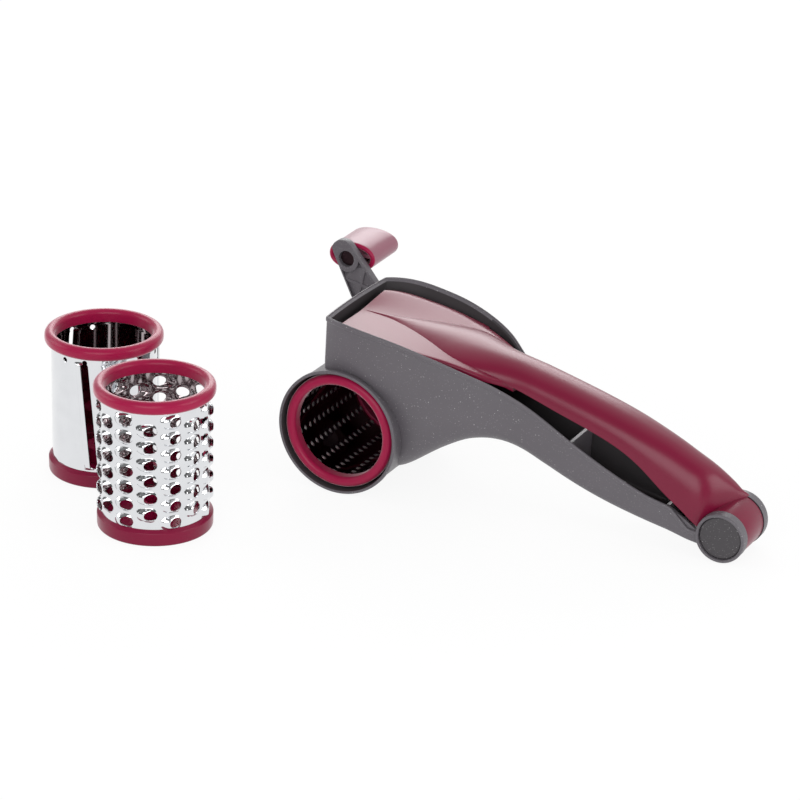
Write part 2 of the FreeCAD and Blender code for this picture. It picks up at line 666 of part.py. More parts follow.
def drive_spindle():
    flange_back = WALL_INNER_Y - FLANGE_GAP
    flange = along_y(FLANGE_R, flange_back - FLANGE_T, flange_back)
    journal = along_y(JOURNAL_R, flange_back - 0.01, WALL_OUTER_Y + ARM_GAP / 2)
    spigot = hexagon(DRIVE_FLATS, flange_back - FLANGE_T - SPIGOT_L, flange_back - FLANGE_T + 0.01)
    spigot.translate(V(0, 0, AXIS_Z))
    tail = square(TAIL_FLATS, WALL_OUTER_Y, WALL_OUTER_Y + ARM_GAP + TAIL_L)
    pilot = along_y(SCREW_R + 0.02, tail_end() - SCREW_L, BIG)
    return joined([flange, journal, spigot, tail]).cut(pilot)


def tail_end():
    return WALL_OUTER_Y + ARM_GAP + TAIL_L


def screw_seat():
    return tail_end() + SCREW_GAP + SCREW_WEB


def arm_run():
    """The direction from the axis to the eye."""
    run = V(EYE.x, 0, EYE.z - AXIS_Z)
    run.normalize()
    return run


def arm_outline(shrink, y0, y1):
    """The arm seen along the axis: two circles and their common tangents."""
    hub_r, tip_r = ARM_HUB_R - shrink, ARM_TIP_R - shrink
    run = arm_run()
    middle = run * (ARM_LENGTH + ARM_TIP_PAST)
    hub = along_y(hub_r, y0, y1)
    tip = along_y(tip_r, y0, y1, middle.x, AXIS_Z + middle.z)
    lean = math.asin((hub_r - tip_r) / middle.Length)
    points = []
    for centre, radius, sides in ((V(0, y0, AXIS_Z), hub_r, (-1, 1)),
                                  (V(middle.x, y0, AXIS_Z + middle.z), tip_r, (1, -1))):
        for side in sides:
            normal = FreeCAD.Rotation(Y_AXIS, side * (90 - math.degrees(lean))).multVec(run)
            points.append(centre + normal * radius)
    return joined([hub, tip, polygon(points).extrude(V(0, y1 - y0, 0))])


def crank_arm():
    arm = arm_outline(0, ARM_FRONT_Y, ARM_BACK_Y)
    pocket = arm_outline(ARM_SKIN, ARM_FRONT_Y - 1, ARM_BACK_Y - ARM_FLOOR)
    pocket = pocket.cut(along_y(ARM_HUB_R - 2.5, ARM_FRONT_Y - 2, ARM_BACK_Y))
    for past in (0, ARM_TIP_PAST):
        solid_end = V(EYE.x, 0, EYE.z) + arm_run() * past
        pocket = pocket.cut(along_y(ARM_TIP_R + 0.6, ARM_FRONT_Y - 2, ARM_BACK_Y, solid_end.x, solid_end.z))
    pocket = pocket.cut(joined(arm_ribs()))
    boss = along_y(ARM_HUB_R - 2.5, WALL_OUTER_Y + ARM_GAP, ARM_FRONT_Y + 0.01)
    eye_boss = along_y(ARM_EYE_R, ARM_BACK_Y - 0.01, ARM_BACK_Y + EYE_BOSS_H, EYE.x, EYE.z)
    whole = joined([arm.cut(pocket), boss, eye_boss])
    whole = whole.cut(square(TAIL_FLATS + 2 * TAIL_GAP, 0, tail_end() + SCREW_GAP))
    whole = whole.cut(along_y(SCREW_R + 0.3, 0, BIG))
    whole = whole.cut(along_y(SCREW_HEAD_R + 0.2, screw_seat(), BIG))
    head_floor = ARM_FRONT_Y + SPINDLE_SINK + SPINDLE_HEAD_H
    whole = whole.cut(along_y(SPINDLE_HEAD_R + 0.1, 0, head_floor, EYE.x, EYE.z))
    return whole.cut(along_y(SPINDLE_R + PIN_PRESS_GAP, 0, BIG, EYE.x, EYE.z))


def arm_ribs():
    """Crossed ribs in the pocket, in panels along the arm."""
    run = arm_run()
    across = V(run.z, 0, -run.x)
    start, end = ARM_HUB_R - 2.0, ARM_LENGTH - ARM_EYE_R - 1.0
    panels = 3
    step = (end - start) / panels
    found = []
    for k in range(panels):
        a, b = start + k * step, start + (k + 1) * step
        for side in (-1, 1):
            half = ARM_TIP_R + 2.0
            p = V(0, 0, AXIS_Z) + run * a - across * half * side
            q = V(0, 0, AXIS_Z) + run * b + across * half * side
            d = q - p
            d.normalize()
            n = V(d.z, 0, -d.x) * (ARM_RIB / 2)
            y0 = ARM_FRONT_Y + 0.6
            bar = polygon([p - n, q - n, q + n, p + n]).extrude(V(0, BIG, 0))
            bar.translate(V(0, y0, 0))
            found.append(bar)
    return found


def crank_screw():
    head = along_y(SCREW_HEAD_R, screw_seat(), screw_seat() + SCREW_HEAD_H)
    back = screw_seat() + SCREW_HEAD_H
    edges = [e for e in head.Edges if abs(e.BoundBox.YMin - back) < 0.01 and e.BoundBox.YLength < 0.01]
    head = head.makeFillet(0.7, edges)
    shank = along_y(SCREW_R, screw_seat() - SCREW_L, screw_seat() + 0.01)
    cross = [box(-2.0, 2.0, back - 0.9, back + 1, AXIS_Z - 0.4, AXIS_Z + 0.4),
             box(-0.4, 0.4, back - 0.9, back + 1, AXIS_Z - 2.0, AXIS_Z + 2.0)]
    return joined([head, shank]).cut(joined(cross))


def knob_spindle():
    head_y = ARM_FRONT_Y + SPINDLE_SINK
    head = along_y(SPINDLE_HEAD_R, head_y, head_y + SPINDLE_HEAD_H, EYE.x, EYE.z)
    tube_end = KNOB_FRONT_Y + KNOB_TUBE_L
    shank = along_y(SPINDLE_R, head_y + SPINDLE_HEAD_H - 0.01, tube_end + KNOB_GAP + SPINDLE_CATCH_H,
                    EYE.x, EYE.z)
    catch = along_y(SPINDLE_CATCH_R, tube_end + KNOB_GAP, tube_end + KNOB_GAP + SPINDLE_CATCH_H,
                    EYE.x, EYE.z)
    return joined([head, shank, catch])


def oval(inset, y0, y1):
    """The knob's tapering oval between two places, moved in by inset."""
    rings = []
    for y in (y0, y1):
        share = (y - KNOB_FRONT_Y) / KNOB_LENGTH
        half_h = KNOB_HALF_H + (KNOB_END_HALF_H - KNOB_HALF_H) * share
        curve = Part.Ellipse(V(0, 0, 0), KNOB_HALF_W - inset, half_h - inset).toShape()
        curve.rotate(V(0, 0, 0), X_AXIS, -90)
        curve.translate(V(EYE.x, y, EYE.z - KNOB_END_DROP * share))
        rings.append(Part.Wire([curve]))
    return Part.makeLoft(rings, True, True)


def knob_shell():
    outer = oval(0, KNOB_FRONT_Y, KNOB_BACK_Y)
    end = [e for e in outer.Edges if abs(e.BoundBox.YMin - KNOB_BACK_Y) < 0.01
           and e.BoundBox.YLength < 0.01]
    outer = outer.makeFillet(KNOB_END_ROUND, end)
    inner = oval(KNOB_WALL, KNOB_FRONT_Y - 1, KNOB_BACK_Y - KNOB_WALL)
    end = [e for e in inner.Edges if abs(e.BoundBox.YMin - KNOB_BACK_Y + KNOB_WALL) < 0.01
           and e.BoundBox.YLength < 0.01]
    inner = inner.makeFillet(KNOB_END_ROUND - KNOB_WALL, end)
    tube = along_y(KNOB_TUBE_R, KNOB_FRONT_Y, KNOB_FRONT_Y + KNOB_TUBE_L, EYE.x, EYE.z)
    reach = KNOB_HALF_W - KNOB_WALL + 0.5
    web = box(EYE.x - reach, EYE.x + reach, KNOB_FRONT_Y + 2.5, KNOB_FRONT_Y + KNOB_TUBE_L,
              EYE.z - KNOB_WEB / 2, EYE.z + KNOB_WEB / 2)
    bore = along_y(SPINDLE_R + SPINDLE_GAP, 0, KNOB_FRONT_Y + KNOB_TUBE_L + 1, EYE.x, EYE.z)
    return joined([outer.cut(inner), tube, web]).cut(bore)


# ---- every node, by name
def nodes():
    sleeves = {"fine": fine_sleeve(), "coarse": coarse_sleeve(), "slicer": slicer_sleeve()}
    front, base = drum_front_ring(), drum_base_ring()
    places = {
        "fine": installed,
        "coarse": lambda s: standing(s, COARSE_PLACE),
        "slicer": lambda s: standing(s, SLICER_PLACE),
    }
    made = {
        "body_shell": body_shell(),
        "lever_shell": lever_shell(),
        "presser_block": presser_block(),
        "pivot_pin": pivot_pin(),
        "pivot_cap_near": pivot_cap(-1),
        "pivot_cap_far": pivot_cap(1),
        "drive_spindle": drive_spindle(),
        "crank_arm": crank_arm(),
        "crank_screw": crank_screw(),
        "knob_spindle": knob_spindle(),
        "knob_shell": knob_shell(),
    }
    for name, place in places.items():
        made[name + "_drum_sleeve"] = place(sleeves[name])
        made[name + "_drum_front_ring"] = place(front)
        made[name + "_drum_base_ring"] = place(base)
    return made


def main():
    os.makedirs("parts", exist_ok=True)
    for name, shape in nodes().items():
        moved = shape.copy()
        moved.translate(-ORIGIN)
        solids = moved.Solids
        out = solids[0] if len(solids) == 1 else Part.makeCompound(solids)
        out.exportStep(os.path.join("parts", name + ".step"))
        print(f"{name:24s} solids {len(solids)}  volume {moved.Volume:9.1f}  valid {moved.isValid()}")


main()
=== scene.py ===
import math
import bmesh
import bpy
import numpy as np
from mathutils import Matrix, Vector


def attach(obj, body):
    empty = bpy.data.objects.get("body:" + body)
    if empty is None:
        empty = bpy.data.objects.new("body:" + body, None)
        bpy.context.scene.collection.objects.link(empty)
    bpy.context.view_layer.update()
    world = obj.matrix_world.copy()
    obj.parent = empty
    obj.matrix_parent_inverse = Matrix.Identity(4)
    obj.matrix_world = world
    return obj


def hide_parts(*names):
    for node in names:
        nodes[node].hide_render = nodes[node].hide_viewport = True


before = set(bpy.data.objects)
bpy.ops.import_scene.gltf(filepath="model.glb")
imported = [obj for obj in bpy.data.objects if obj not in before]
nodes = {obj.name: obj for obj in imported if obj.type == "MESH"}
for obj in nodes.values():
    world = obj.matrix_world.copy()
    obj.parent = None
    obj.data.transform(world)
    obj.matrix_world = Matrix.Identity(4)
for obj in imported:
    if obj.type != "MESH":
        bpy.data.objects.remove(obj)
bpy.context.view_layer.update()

# A hand-cranked drum grater with two spare drums. Shapes are worked out in millimetres from the
# drum's axis (x), the barrel's open mouth (y) and the table (z), and moved to the frame at the end.
ORIGIN = np.array([29.2, 4.4, 0.0])

AXIS_Z = 29.06              # the barrel's axis over the table
BARREL_R = 28.3
BEAD_R = 29.06
BORE_R = 27.2
BARREL_LENGTH = 70.7
MOUTH_BEAD = (2.2, 2.5)     # where the mouth's bead ends and the plain barrel begins
BACK_BEAD = (68.4, 68.8)
MOUTH_FLARE = 0.55          # the bore widens this much towards its mouth
FLARE_DEPTH = 4.0
BACK_WALL_Y = 68.7
JOURNAL_HOLE_R = 9.06
MID_Y = 32.2                # middle of the hopper, the grip and the lever
WALL = 2.0
FLOOR = 2.2
HOPPER_LEFT = -8.5
HOPPER_CORNER_R = 2.4       # the hopper's upright corners
LEFT_BULGE = 1.0
LEFT_SPREAD = 0.10          # the hopper's left wall spreads this much downwards
SPREAD_DEPTH = 26
GRIP_END_X = 150            # from here the grip runs down to the pivot
NOSE_X = 151
SKIN_END_X, HOLLOW_END_X = 166.0, 158.0
SKIN_BORE_R, SKIN_BORE_BACK = 27.75, 69.6     # the barrel's room in the hopper's skin
STRAIGHT_X = 16.0           # the underside is level to the left of here
RIM_W = 1.9
RIM_R = 0.85
RIM_STEP = ((0.0, 1.9), (0.08, 2.15), (0.35, 2.4), (0.42, 2.7))  # in and down, under the rim
# below this band the inside takes the darker grey of painted shade
RIM_BAND = 1.3              # the rim keeps the outer finish down to here
MOUTH_OUT = 1.15            # the hollow is this much wider at the rim
PAST_RIM = 7                # and rises this far past it
CHAMBER_RIGHT, CHAMBER_LIFT = 24.0, 20.0
CHUTE = ((21.5, 43.4), (30, 46.0), (40, 49.3), (47, 51.56))
BOARD_T = 1.8               # the boards of the feed chamber
BOARD_TRIM = 1.1            # their ends lie this far inside the walls' outer faces
RIB_PLACES = (103.6, 150.2)
RIB_T = 1.5
RIB_DROP = 0.9
RIB_SUNK = 1.0
BENT_WALL_R = 137.3         # round the lever's pivot
BENT_WALL_Z = (50.2, 64.0)

PIVOT_X, PIVOT_Z = 177.0, 11.2
KNUCKLE_R = 11.2
NEAR_EAR_SHIFT = (-0.5, 0.4)
FAR_EAR_R = 12.1
FAR_EAR_SHIFT = (-0.92, 0.95)
EAR_INNER, EAR_OUTER = 10.4, 13.9
CHEEK_T = 1.2
CAP_ROOM_R = 9.8
CAP_SINK = 1.8
CAP_GAP = 0.15
LEVER_KNUCKLE_R, LEVER_KNUCKLE_HALF = 10.9, 10.1
EAR_GAP = 0.1               # between the lever's knuckle and the ears' collars
COLLAR_W, KNUCKLE_END_R = 1.4, 10.1
PIN_R = 2.52
PIN_GAP = 0.06
BEYOND = (-20, 90)          # a cutter that reaches past both sides of the grater

LEVER_LEFT = -3.3
HANDLE_FOOT_X, FLANK_X = 66, 72               # the handle leaves the plate between these
FOOT_SUNK = 0.7             # the handle's feet lie this far under the plate's line
HANDLE_WALL, HANDLE_OPEN = 2.4, 5.0           # its hollow is open below
HOLLOW_X = (74.0, 163.0)
TAIL_X, LEVER_RIGHT = 165, 181.2
PLATE_T, PLATE_EDGE_R = 2.4, 1.0
MARGIN_W, CROWN_REACH = 7.5, 30
STEP_GAP = 0.15             # between the knuckle's steps and the collars
EAR_ROOM = 0.75             # the handle stands this far off the ears

DRUM_LENGTH = 67.2
DRUM_BACK_Y = 68.2
SLEEVE_R = 23.6
SLEEVE_WALL = 0.45
SLEEVE_SUNK = 1.5           # the sleeve's ends lie this far inside the rings
FRONT_RING_R = 26.5
RING_INNER_R = 21.8
FRONT_RING_H = 5.8
BASE_RING_R = 25.3
BASE_RING_H = 7.4
DISC_Z, DISC_T = 2.4, 2
HUB_R, HUB_H, HUB_BORE_R = 8.5, 9, 3.0
HEXAGON_R = 5.31
COARSE_PLACE = (-53.0, -66.9)
SLICER_PLACE = (-103.3, -26.9)

ARM_FRONT_Y = 72.3
EYE_X, EYE_Z = -34.515, 81.405
EYE_STEP_R, EYE_STEP_DEPTH = 3.9, 2.2
KNOB_FRONT_Y, KNOB_BACK_Y = 77.4, 102.2
KNOB_HALF_W, KNOB_END_HALF_W = 11.7, 12.15
KNOB_HALF_H, KNOB_END_HALF_H = 6.9, 6.35
KNOB_DROP, KNOB_END_DROP = 0.55, 0.1
KNOB_WALL = 2.3
KNOB_END_ROUND = 1.9
TUBE_BORE_R, TUBE_R, TUBE_L = 2.58, 4.6, 15
WEB_IN, WEB_OUT, WEB_HALF = 3.6, 10.0, 0.8


def curve(*knots):
    """A natural cubic line through (x, value) knots, as a function of x."""
    xs, ys = (np.array(column, float) for column in zip(*knots))
    n, gap = len(xs), np.diff(xs)
    matrix, right = np.eye(n), np.zeros(n)
    for i in range(1, n - 1):
        matrix[i, i - 1:i + 2] = gap[i - 1], 2 * (gap[i - 1] + gap[i]), gap[i]
        right[i] = 6 * ((ys[i + 1] - ys[i]) / gap[i] - (ys[i] - ys[i - 1]) / gap[i - 1])
    bend = np.linalg.solve(matrix, right)

    def value(x):
        x = min(max(x, xs[0]), xs[-1])
        i = min(int(np.searchsorted(xs, x, "right")) - 1, n - 2)
        a, b, h = xs[i + 1] - x, x - xs[i], gap[i]
        return ((bend[i] * a ** 3 + bend[i + 1] * b ** 3) / (6 * h)
                + (ys[i] / h - bend[i] * h / 6) * a + (ys[i + 1] / h - bend[i + 1] * h / 6) * b)
    return value


def steps(*knots):
    """The same with straight runs between the knots."""
    xs, ys = zip(*knots)
    return lambda x: float(np.interp(x, xs, ys))


def smooth(t):
    """Goes from 0 to 1 with soft ends."""
    t = min(max(t, 0.0), 1.0)
    return t * t * (3 - 2 * t)


# ---- outlines along the grater: Z lines are heights and Y lines are places across
RIM_Z = curve((-8.5, 81.7), (0, 81.75), (10, 80.9), (20, 79.4), (30, 77.5), (40, 74.8), (50, 71.3),
              (60, 66.7), (66, 63.2), (76, 57.3), (85, 52.3), (95, 46.2), (105, 40.3), (115, 35.0),
              (125, 30.2), (135, 25.9), (143, 23.1), (151, 21.2))
NOSE_Z = steps((151, 21.2), (153, 20.4), (160.8, 12.9), (163, 12.2), (170, 12.0))
# half the width at the rim, and how far a wall leans in for each millimetre down
RIM_HALF = curve((-8.5, 28.4), (-3.5, 30.9), (1, 32.4), (10, 33.9), (20, 33.9), (30, 33.3), (40, 31.9),
                 (50, 29.4), (60, 25.0), (66, 21.0), (76, 16.2), (85, 14.2), (95, 13.2), (106, 12.9),
                 (120, 12.9), (170, 12.9))
LEAN = steps((-8.5, 0.14), (6, 0.19), (45, 0.19), (65, 0.16), (76, 0.13), (88, 0.10), (100, 0.08),
             (170, 0.08))
UNDER_Z = curve((16, 10.0), (24, 11.9), (37, 19.7), (52, 29.0), (60, 32.3), (68, 33.1), (76, 31.6),
                (86.3, 27.6), (105.3, 19.6), (126.6, 13.2), (149, 8.6), (158, 7.0), (170, 5.0))
LOWER_ROUND = steps((-8.5, 1.2), (2, 1.2), (14, 8), (60, 8), (90, 4.5), (150, 3.0), (160, 1.8), (170, 1.8))

PLATE_Z = curve((-3.3, 77.35), (14, 75.8), (34, 73.3), (50, 69.8), (61, 66.1), (72, 61.8), (78, 59.4))
PLATE_NEAR_Y = curve((-3.3, 7.6), (0, 5.4), (4.5, 3.9), (14, 3.1), (24, 3.0), (35, 4.3), (47, 7.6),
                     (55.6, 10.4), (61, 12.4), (66, 15.3), (71.8, 19.4), (76, 20.3))
MARGIN_FALL = steps((-3.3, 3.2), (25, 3.0), (50, 1.8))
PLATE_CROWN = steps((-3.3, 2.2), (12, 1.5), (40, 0))
CREST_Z = curve((-3.3, 77.5), (5.3, 77.0), (14.6, 76.35), (24.2, 75.7), (34, 75.2), (44, 74.2),
                (54, 72.6), (64, 70.8), (74, 69.1), (84, 66.9), (96, 63.9), (107.6, 60.8), (119, 57.5),
                (131, 53.6), (142.4, 49.3), (150, 46.1), (158, 42.2), (165.5, 38.3), (169.5, 35.3),
                (172.9, 31.9), (175.3, 29.0), (177.5, 26.2), (180, 23.6), (181.2, 21.4))
CREST_Y = curve((-3.3, 29.4), (8, 30.4), (20, 31.7), (34, 32.2), (60, 32.2), (120, 32.2), (158, 32.2),
                (165, 32.6), (168.5, 33.6), (172, 35.6), (175, 38.0), (178, 40.6), (181.2, 43.2))
FOOT_Y = curve((-3.3, 28.9), (11, 27.8), (17.4, 25.4), (23.9, 22.9), (30.9, 20.3), (38.2, 17.2),
               (45.9, 14.5), (51, 14.2), (57.4, 15.6), (63.5, 17.5), (71.5, 19.2), (84, 19.8),
               (100, 19.8), (120, 19.8), (150, 19.8), (158, 19.8), (165, 20.5), (168.5, 22.5),
               (172, 26.5), (175, 31.2), (178, 36.6), (181.2, 42.4))
FLANK_Z = curve((66, 63.6), (72, 61.3), (80, 58.8), (89, 55.8), (99, 52.4), (109, 49.2), (119, 45.7),
                (129, 41.3), (139, 34.8), (149, 26.5), (160, 18.4), (166, 13.4), (172, 9.5), (181.5, 6.0))
# powers that shape the handle's arch: how broad its crown is and how steeply its sides rise
ARCH_ACROSS = steps((-3.3, 2.0), (40, 2.0), (60, 2.2), (84, 2.5), (182, 2.5))
ARCH_RISE = steps((-3.3, 1.0), (40, 0.85), (60, 0.62), (84, 0.42), (110, 0.40), (182, 0.40))


# ---- shapes: points in millimetres and faces
def grid_faces(rows, columns, first=0, loop_rows=False, loop_columns=False):
    """The four-sided faces between rows of points, which may close on themselves either way."""
    faces = []
    for i in range(rows if loop_rows else rows - 1):
        for j in range(columns if loop_columns else columns - 1):
            a, b = i * columns, ((i + 1) % rows) * columns
            k = (j + 1) % columns
            faces.append((first + a + j, first + b + j, first + b + k, first + a + k))
    return faces


def loft(sections):
    """A closed form through closed sections, with flat ends."""
    sections = np.array(sections, float)
    rows, columns = sections.shape[:2]
    faces = grid_faces(rows, columns, loop_columns=True)
    faces.append(tuple(range(columns))[::-1])
    faces.append(tuple((rows - 1) * columns + j for j in range(columns)))
    return sections.reshape(-1, 3), faces


def turned(profile, count=160):
    """A closed profile of (radius, height) pairs turned round the z axis."""
    points = []
    for k in range(count):
        a = 2 * math.pi * k / count
        points += [(r * math.cos(a), r * math.sin(a), h) for r, h in profile]
    faces = grid_faces(count, len(profile), loop_rows=True, loop_columns=True)
    return np.array(points), faces


def along_y(shape, x, y, z):
    """Lays a form that was turned round z with its axis on y, its height running away from the mouth."""
    points, faces = shape
    laid = np.stack([points[:, 0] + x, points[:, 2] + y, points[:, 1] + z], axis=1)
    return laid, faces


def rounded(corners, radius, count=5):
    """A closed profile with its corners rounded; radius is one number or one for each corner."""
    corners = [np.array(c, float) for c in corners]
    radii = radius if isinstance(radius, (list, tuple)) else [radius] * len(corners)
    profile = []
    for i, (corner, r) in enumerate(zip(corners, radii)):
        if r == 0:
            profile.append(tuple(corner))
            continue
        before, after = corners[i - 1] - corner, corners[(i + 1) % len(corners)] - corner
        before, after = before / np.linalg.norm(before), after / np.linalg.norm(after)
        half = math.acos(float(np.clip(before @ after, -1, 1))) / 2
        reach = r / math.tan(half)
        middle = corner + (before + after) / np.linalg.norm(before + after) * r / math.sin(half)
        start, end = corner + before * reach - middle, corner + after * reach - middle
        turn = math.atan2(start[0] * end[1] - start[1] * end[0], float(start @ end))
        for k in range(count + 1):
            a = turn * k / count
            profile.append((middle[0] + start[0] * math.cos(a) - start[1] * math.sin(a),
                            middle[1] + start[0] * math.sin(a) + start[1] * math.cos(a)))
    return profile


def plug(radius, y0, y1, x=0.0, z=AXIS_Z, count=160):
    """A solid round bar along y, used as a cutter."""
    turns = np.linspace(0, 2 * math.pi, count + 1)[:-1]
    points = [(radius * math.cos(a), radius * math.sin(a)) for a in turns]
    return loft([[(x + p, y, z + q) for p, q in points] for y in (y0, y1)])


def raw_mesh(name, shape, origin=ORIGIN):
    """A plain mesh in metres with its doubles merged and its faces outwards."""
    points, faces = shape
    mesh = bpy.data.meshes.new(name)
    mesh.from_pydata(((np.asarray(points, float) - origin) / 1000).tolist(), [], faces)
    tidy = bmesh.new()
    tidy.from_mesh(mesh)
    bmesh.ops.remove_doubles(tidy, verts=tidy.verts, dist=2e-6)
    bmesh.ops.dissolve_degenerate(tidy, edges=tidy.edges, dist=1e-7)
    bmesh.ops.recalc_face_normals(tidy, faces=tidy.faces)
    tidy.to_mesh(mesh)
    tidy.free()
    return mesh


def thing(name, data):
    """An object in the scene for a mesh, a lamp or a camera."""
    made = bpy.data.objects.new(name, data)
    bpy.context.scene.collection.objects.link(made)
    return made


def form(name, shape, finish=None):
    """A closed form as an object; a cut keeps the finish of the form that each face comes from."""
    made = thing(name, raw_mesh(name, shape))
    if finish:
        made.data.materials.append(finish)
    return made


def sheet_object(name, shape):
    """An open sheet as an object, its points taken as they are."""
    points, faces = shape
    mesh = bpy.data.meshes.new(name)
    mesh.from_pydata((np.asarray(points, float) / 1000).tolist(), [], faces)
    return thing(name, mesh)


def points_of(made):
    """An object's points as they lie in its mesh, in millimetres."""
    return np.array([tuple(v.co) for v in made.data.vertices]) * 1000


def set_points(made, points):
    """Moves an object's points to places in millimetres from the drum's axis, mouth and table."""
    made.data.vertices.foreach_set("co", ((points - ORIGIN) / 1000).ravel())
    made.data.update()


def faces_of(made):
    """Each face of an object with the place of its middle."""
    for face in made.data.polygons:
        yield face, np.array(face.center) * 1000 + ORIGIN


def number_faces(made, number):
    made.data.polygons.foreach_set("material_index", [number] * len(made.data.polygons))


def settled(made, sharp=38):
    """The object as a plain mesh with its modifiers worked in, smooth but for its sharp edges."""
    bpy.context.view_layer.update()
    seen = made.evaluated_get(bpy.context.evaluated_depsgraph_get())
    mesh = bpy.data.meshes.new_from_object(seen)
    made.modifiers.clear()
    made.data = mesh
    mesh.shade_smooth()
    mesh.set_sharp_from_angle(angle=math.radians(sharp))
    return made


def cut(made, *tools):
    """Takes the tools' room out of an object and removes the tools."""
    for tool in tools:
        modifier = made.modifiers.new("cut", "BOOLEAN")
        modifier.operation = "DIFFERENCE"
        modifier.solver = "EXACT"
        modifier.material_mode = "TRANSFER"
        modifier.object = tool
    settled(made)
    for tool in tools:
        bpy.data.objects.remove(tool)
    return made


def merged(name, *parts):
    """One object of several closed forms; faces keep the number of their finish."""
    whole = bmesh.new()
    for part in parts:
        if isinstance(part, bpy.types.Object):
            mesh = part.data
            bpy.data.objects.remove(part)
        else:
            mesh = raw_mesh(name, part)
        whole.from_mesh(mesh)
        bpy.data.meshes.remove(mesh)
    mesh = bpy.data.meshes.new(name)
    whole.to_mesh(mesh)
    whole.free()
    return thing(name, mesh)


def finished(made, body, finishes, node, sharp=38):
    """Settles a piece, gives it its finishes in their order and hands it to its body in a node's place."""
    settled(made, sharp)
    numbers = [min(face.material_index, len(finishes) - 1) for face in made.data.polygons]
    made.data.materials.clear()
    for finish in finishes:
        made.data.materials.append(finish)
    made.data.polygons.foreach_set("material_index", numbers)
    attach(made, body)
    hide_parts(node)


def softened(name, width, *holes):
    """A copy of a frame node with its edges broken by a small bevel."""
    mesh = nodes[name].data.copy()
    tidy = bmesh.new()
    tidy.from_mesh(mesh)
    bmesh.ops.remove_doubles(tidy, verts=tidy.verts, dist=1e-6)
    bmesh.ops.dissolve_limit(tidy, angle_limit=math.radians(1.0), verts=tidy.verts, edges=tidy.edges)
    tidy.to_mesh(mesh)
    tidy.free()
    made = thing(name + "_soft", mesh)
    if holes:
        cut(made, *holes)
    bevel = made.modifiers.new("bevel", "BEVEL")
    bevel.width = width / 1000
    bevel.segments = 2
    bevel.limit_method = "ANGLE"
    bevel.angle_limit = math.radians(38)
    bevel.use_clamp_overlap = True
    return made


# ---- node trees
def sums(operation):
    """A Math node as an operator, and as its reflected form."""
    def straight(term, other):
        return term.graph.maths(operation, term, other)

    def reflected(term, other):
        return term.graph.maths(operation, other, term)
    return straight, reflected


class Term:
    """A socket that takes part in sums."""

    def __init__(self, graph, socket):
        self.graph, self.socket = graph, socket

    __add__, __radd__ = sums("ADD")
    __sub__, __rsub__ = sums("SUBTRACT")
    __mul__, __rmul__ = sums("MULTIPLY")
    __truediv__, __rtruediv__ = sums("DIVIDE")
    __mod__, __rmod__ = sums("MODULO")
    __gt__, __lt__ = sums("GREATER_THAN")[0], sums("LESS_THAN")[0]


class Graph:
    """A node tree. Colours are given as red, green and blue."""

    def __init__(self, tree):
        self.tree = tree

    def node(self, kind, settings=None, inputs=None, output=0):
        """One node: its settings first, then the values or links of its sockets."""
        made = self.tree.nodes.new(kind)
        for key, value in (settings or {}).items():
            setattr(made, key, value)
        for key, value in (inputs or {}).items():
            socket = made.inputs[key]
            if isinstance(value, (Term, list)):
                for term in value if isinstance(value, list) else [value]:
                    self.tree.links.new(term.socket, socket)
            else:
                socket.default_value = (*value, 1) if socket.type == "RGBA" else value
        return Term(self, made.outputs[output])

    def maths(self, operation, *terms):
        """A Math node on its terms in their order."""
        return self.node("ShaderNodeMath", {"operation": operation}, dict(enumerate(terms)))

    def mix(self, share, first, second):
        """A colour between two colours."""
        return self.node("ShaderNodeMix", {"data_type": "RGBA"}, {0: share, 6: first, 7: second}, 2)

    def between(self, share, first, second):
        """A number between two numbers."""
        return self.node("ShaderNodeMix", {"data_type": "FLOAT"}, {0: share, 2: first, 3: second})

    def rise(self, value, start, end, low=0.0, high=1.0):
        """Goes smoothly from low to high as the value goes from start to end."""
        return self.node("ShaderNodeMapRange", {"interpolation_type": "SMOOTHSTEP"},
                         {0: value, 1: start, 2: end, 3: low, 4: high})

    def part(self, vector, number):
        """The x, y or z of a vector, as number 0, 1 or 2."""
        return self.node("ShaderNodeSeparateXYZ", None, {0: vector}, number)

    def ray(self, kind):
        """Whether a surface is seen by rays of a kind."""
        return self.node("ShaderNodeLightPath", output="Is " + kind + " Ray")

    def place_in_mm(self):
        """The place on the object's surface, on which every pattern lies."""
        place = self.node("ShaderNodeTexCoord", output="Object")
        return self.node("ShaderNodeVectorMath", {"operation": "SCALE"}, {0: place, "Scale": 1000.0})

    def noise(self, place, size, detail=2.0):
        """Cloudy noise with clouds of about a size in millimetres."""
        return self.node("ShaderNodeTexNoise", None, {"Vector": place, "Scale": 1 / size, "Detail": detail})

    def bump(self, height, strength, distance=0.0001):
        return self.node("ShaderNodeBump", None, {"Strength": strength, "Distance": distance,
                                                  "Height": height})

    def flecks(self, place, spacing, size, share):
        """Sparse round flecks: one in a cell, and only in a share of the cells."""
        cell = {"Vector": place, "Scale": 1 / spacing, "Randomness": 1.0}
        away = self.node("ShaderNodeTexVoronoi", {"feature": "F1"}, cell, "Distance")
        tint = self.node("ShaderNodeTexVoronoi", {"feature": "F1"}, cell, "Color")
        chance, growth = (self.node("ShaderNodeSeparateColor", None, {0: tint}, k) for k in (0, 1))
        radius = size / spacing
        return self.rise(away, radius * (0.5 + growth), radius * 0.2) * (chance < share)

    def shader(self, **sockets):
        """The main shader, its sockets fed by short names."""
        return self.node("ShaderNodeBsdfPrincipled", None,
                         {SOCKETS[name]: value for name, value in sockets.items()})

    def end(self, kind, term):
        """The tree's last node."""
        self.tree.links.new(term.socket, self.tree.nodes.new(kind).inputs[0])


SOCKETS = {"colour": "Base Color", "roughness": "Roughness", "metal": "Metallic", "normal": "Normal",
           "specular": "Specular IOR Level", "sheen": "Sheen Weight",
           "sheen_roughness": "Sheen Roughness", "sheen_tint": "Sheen Tint"}


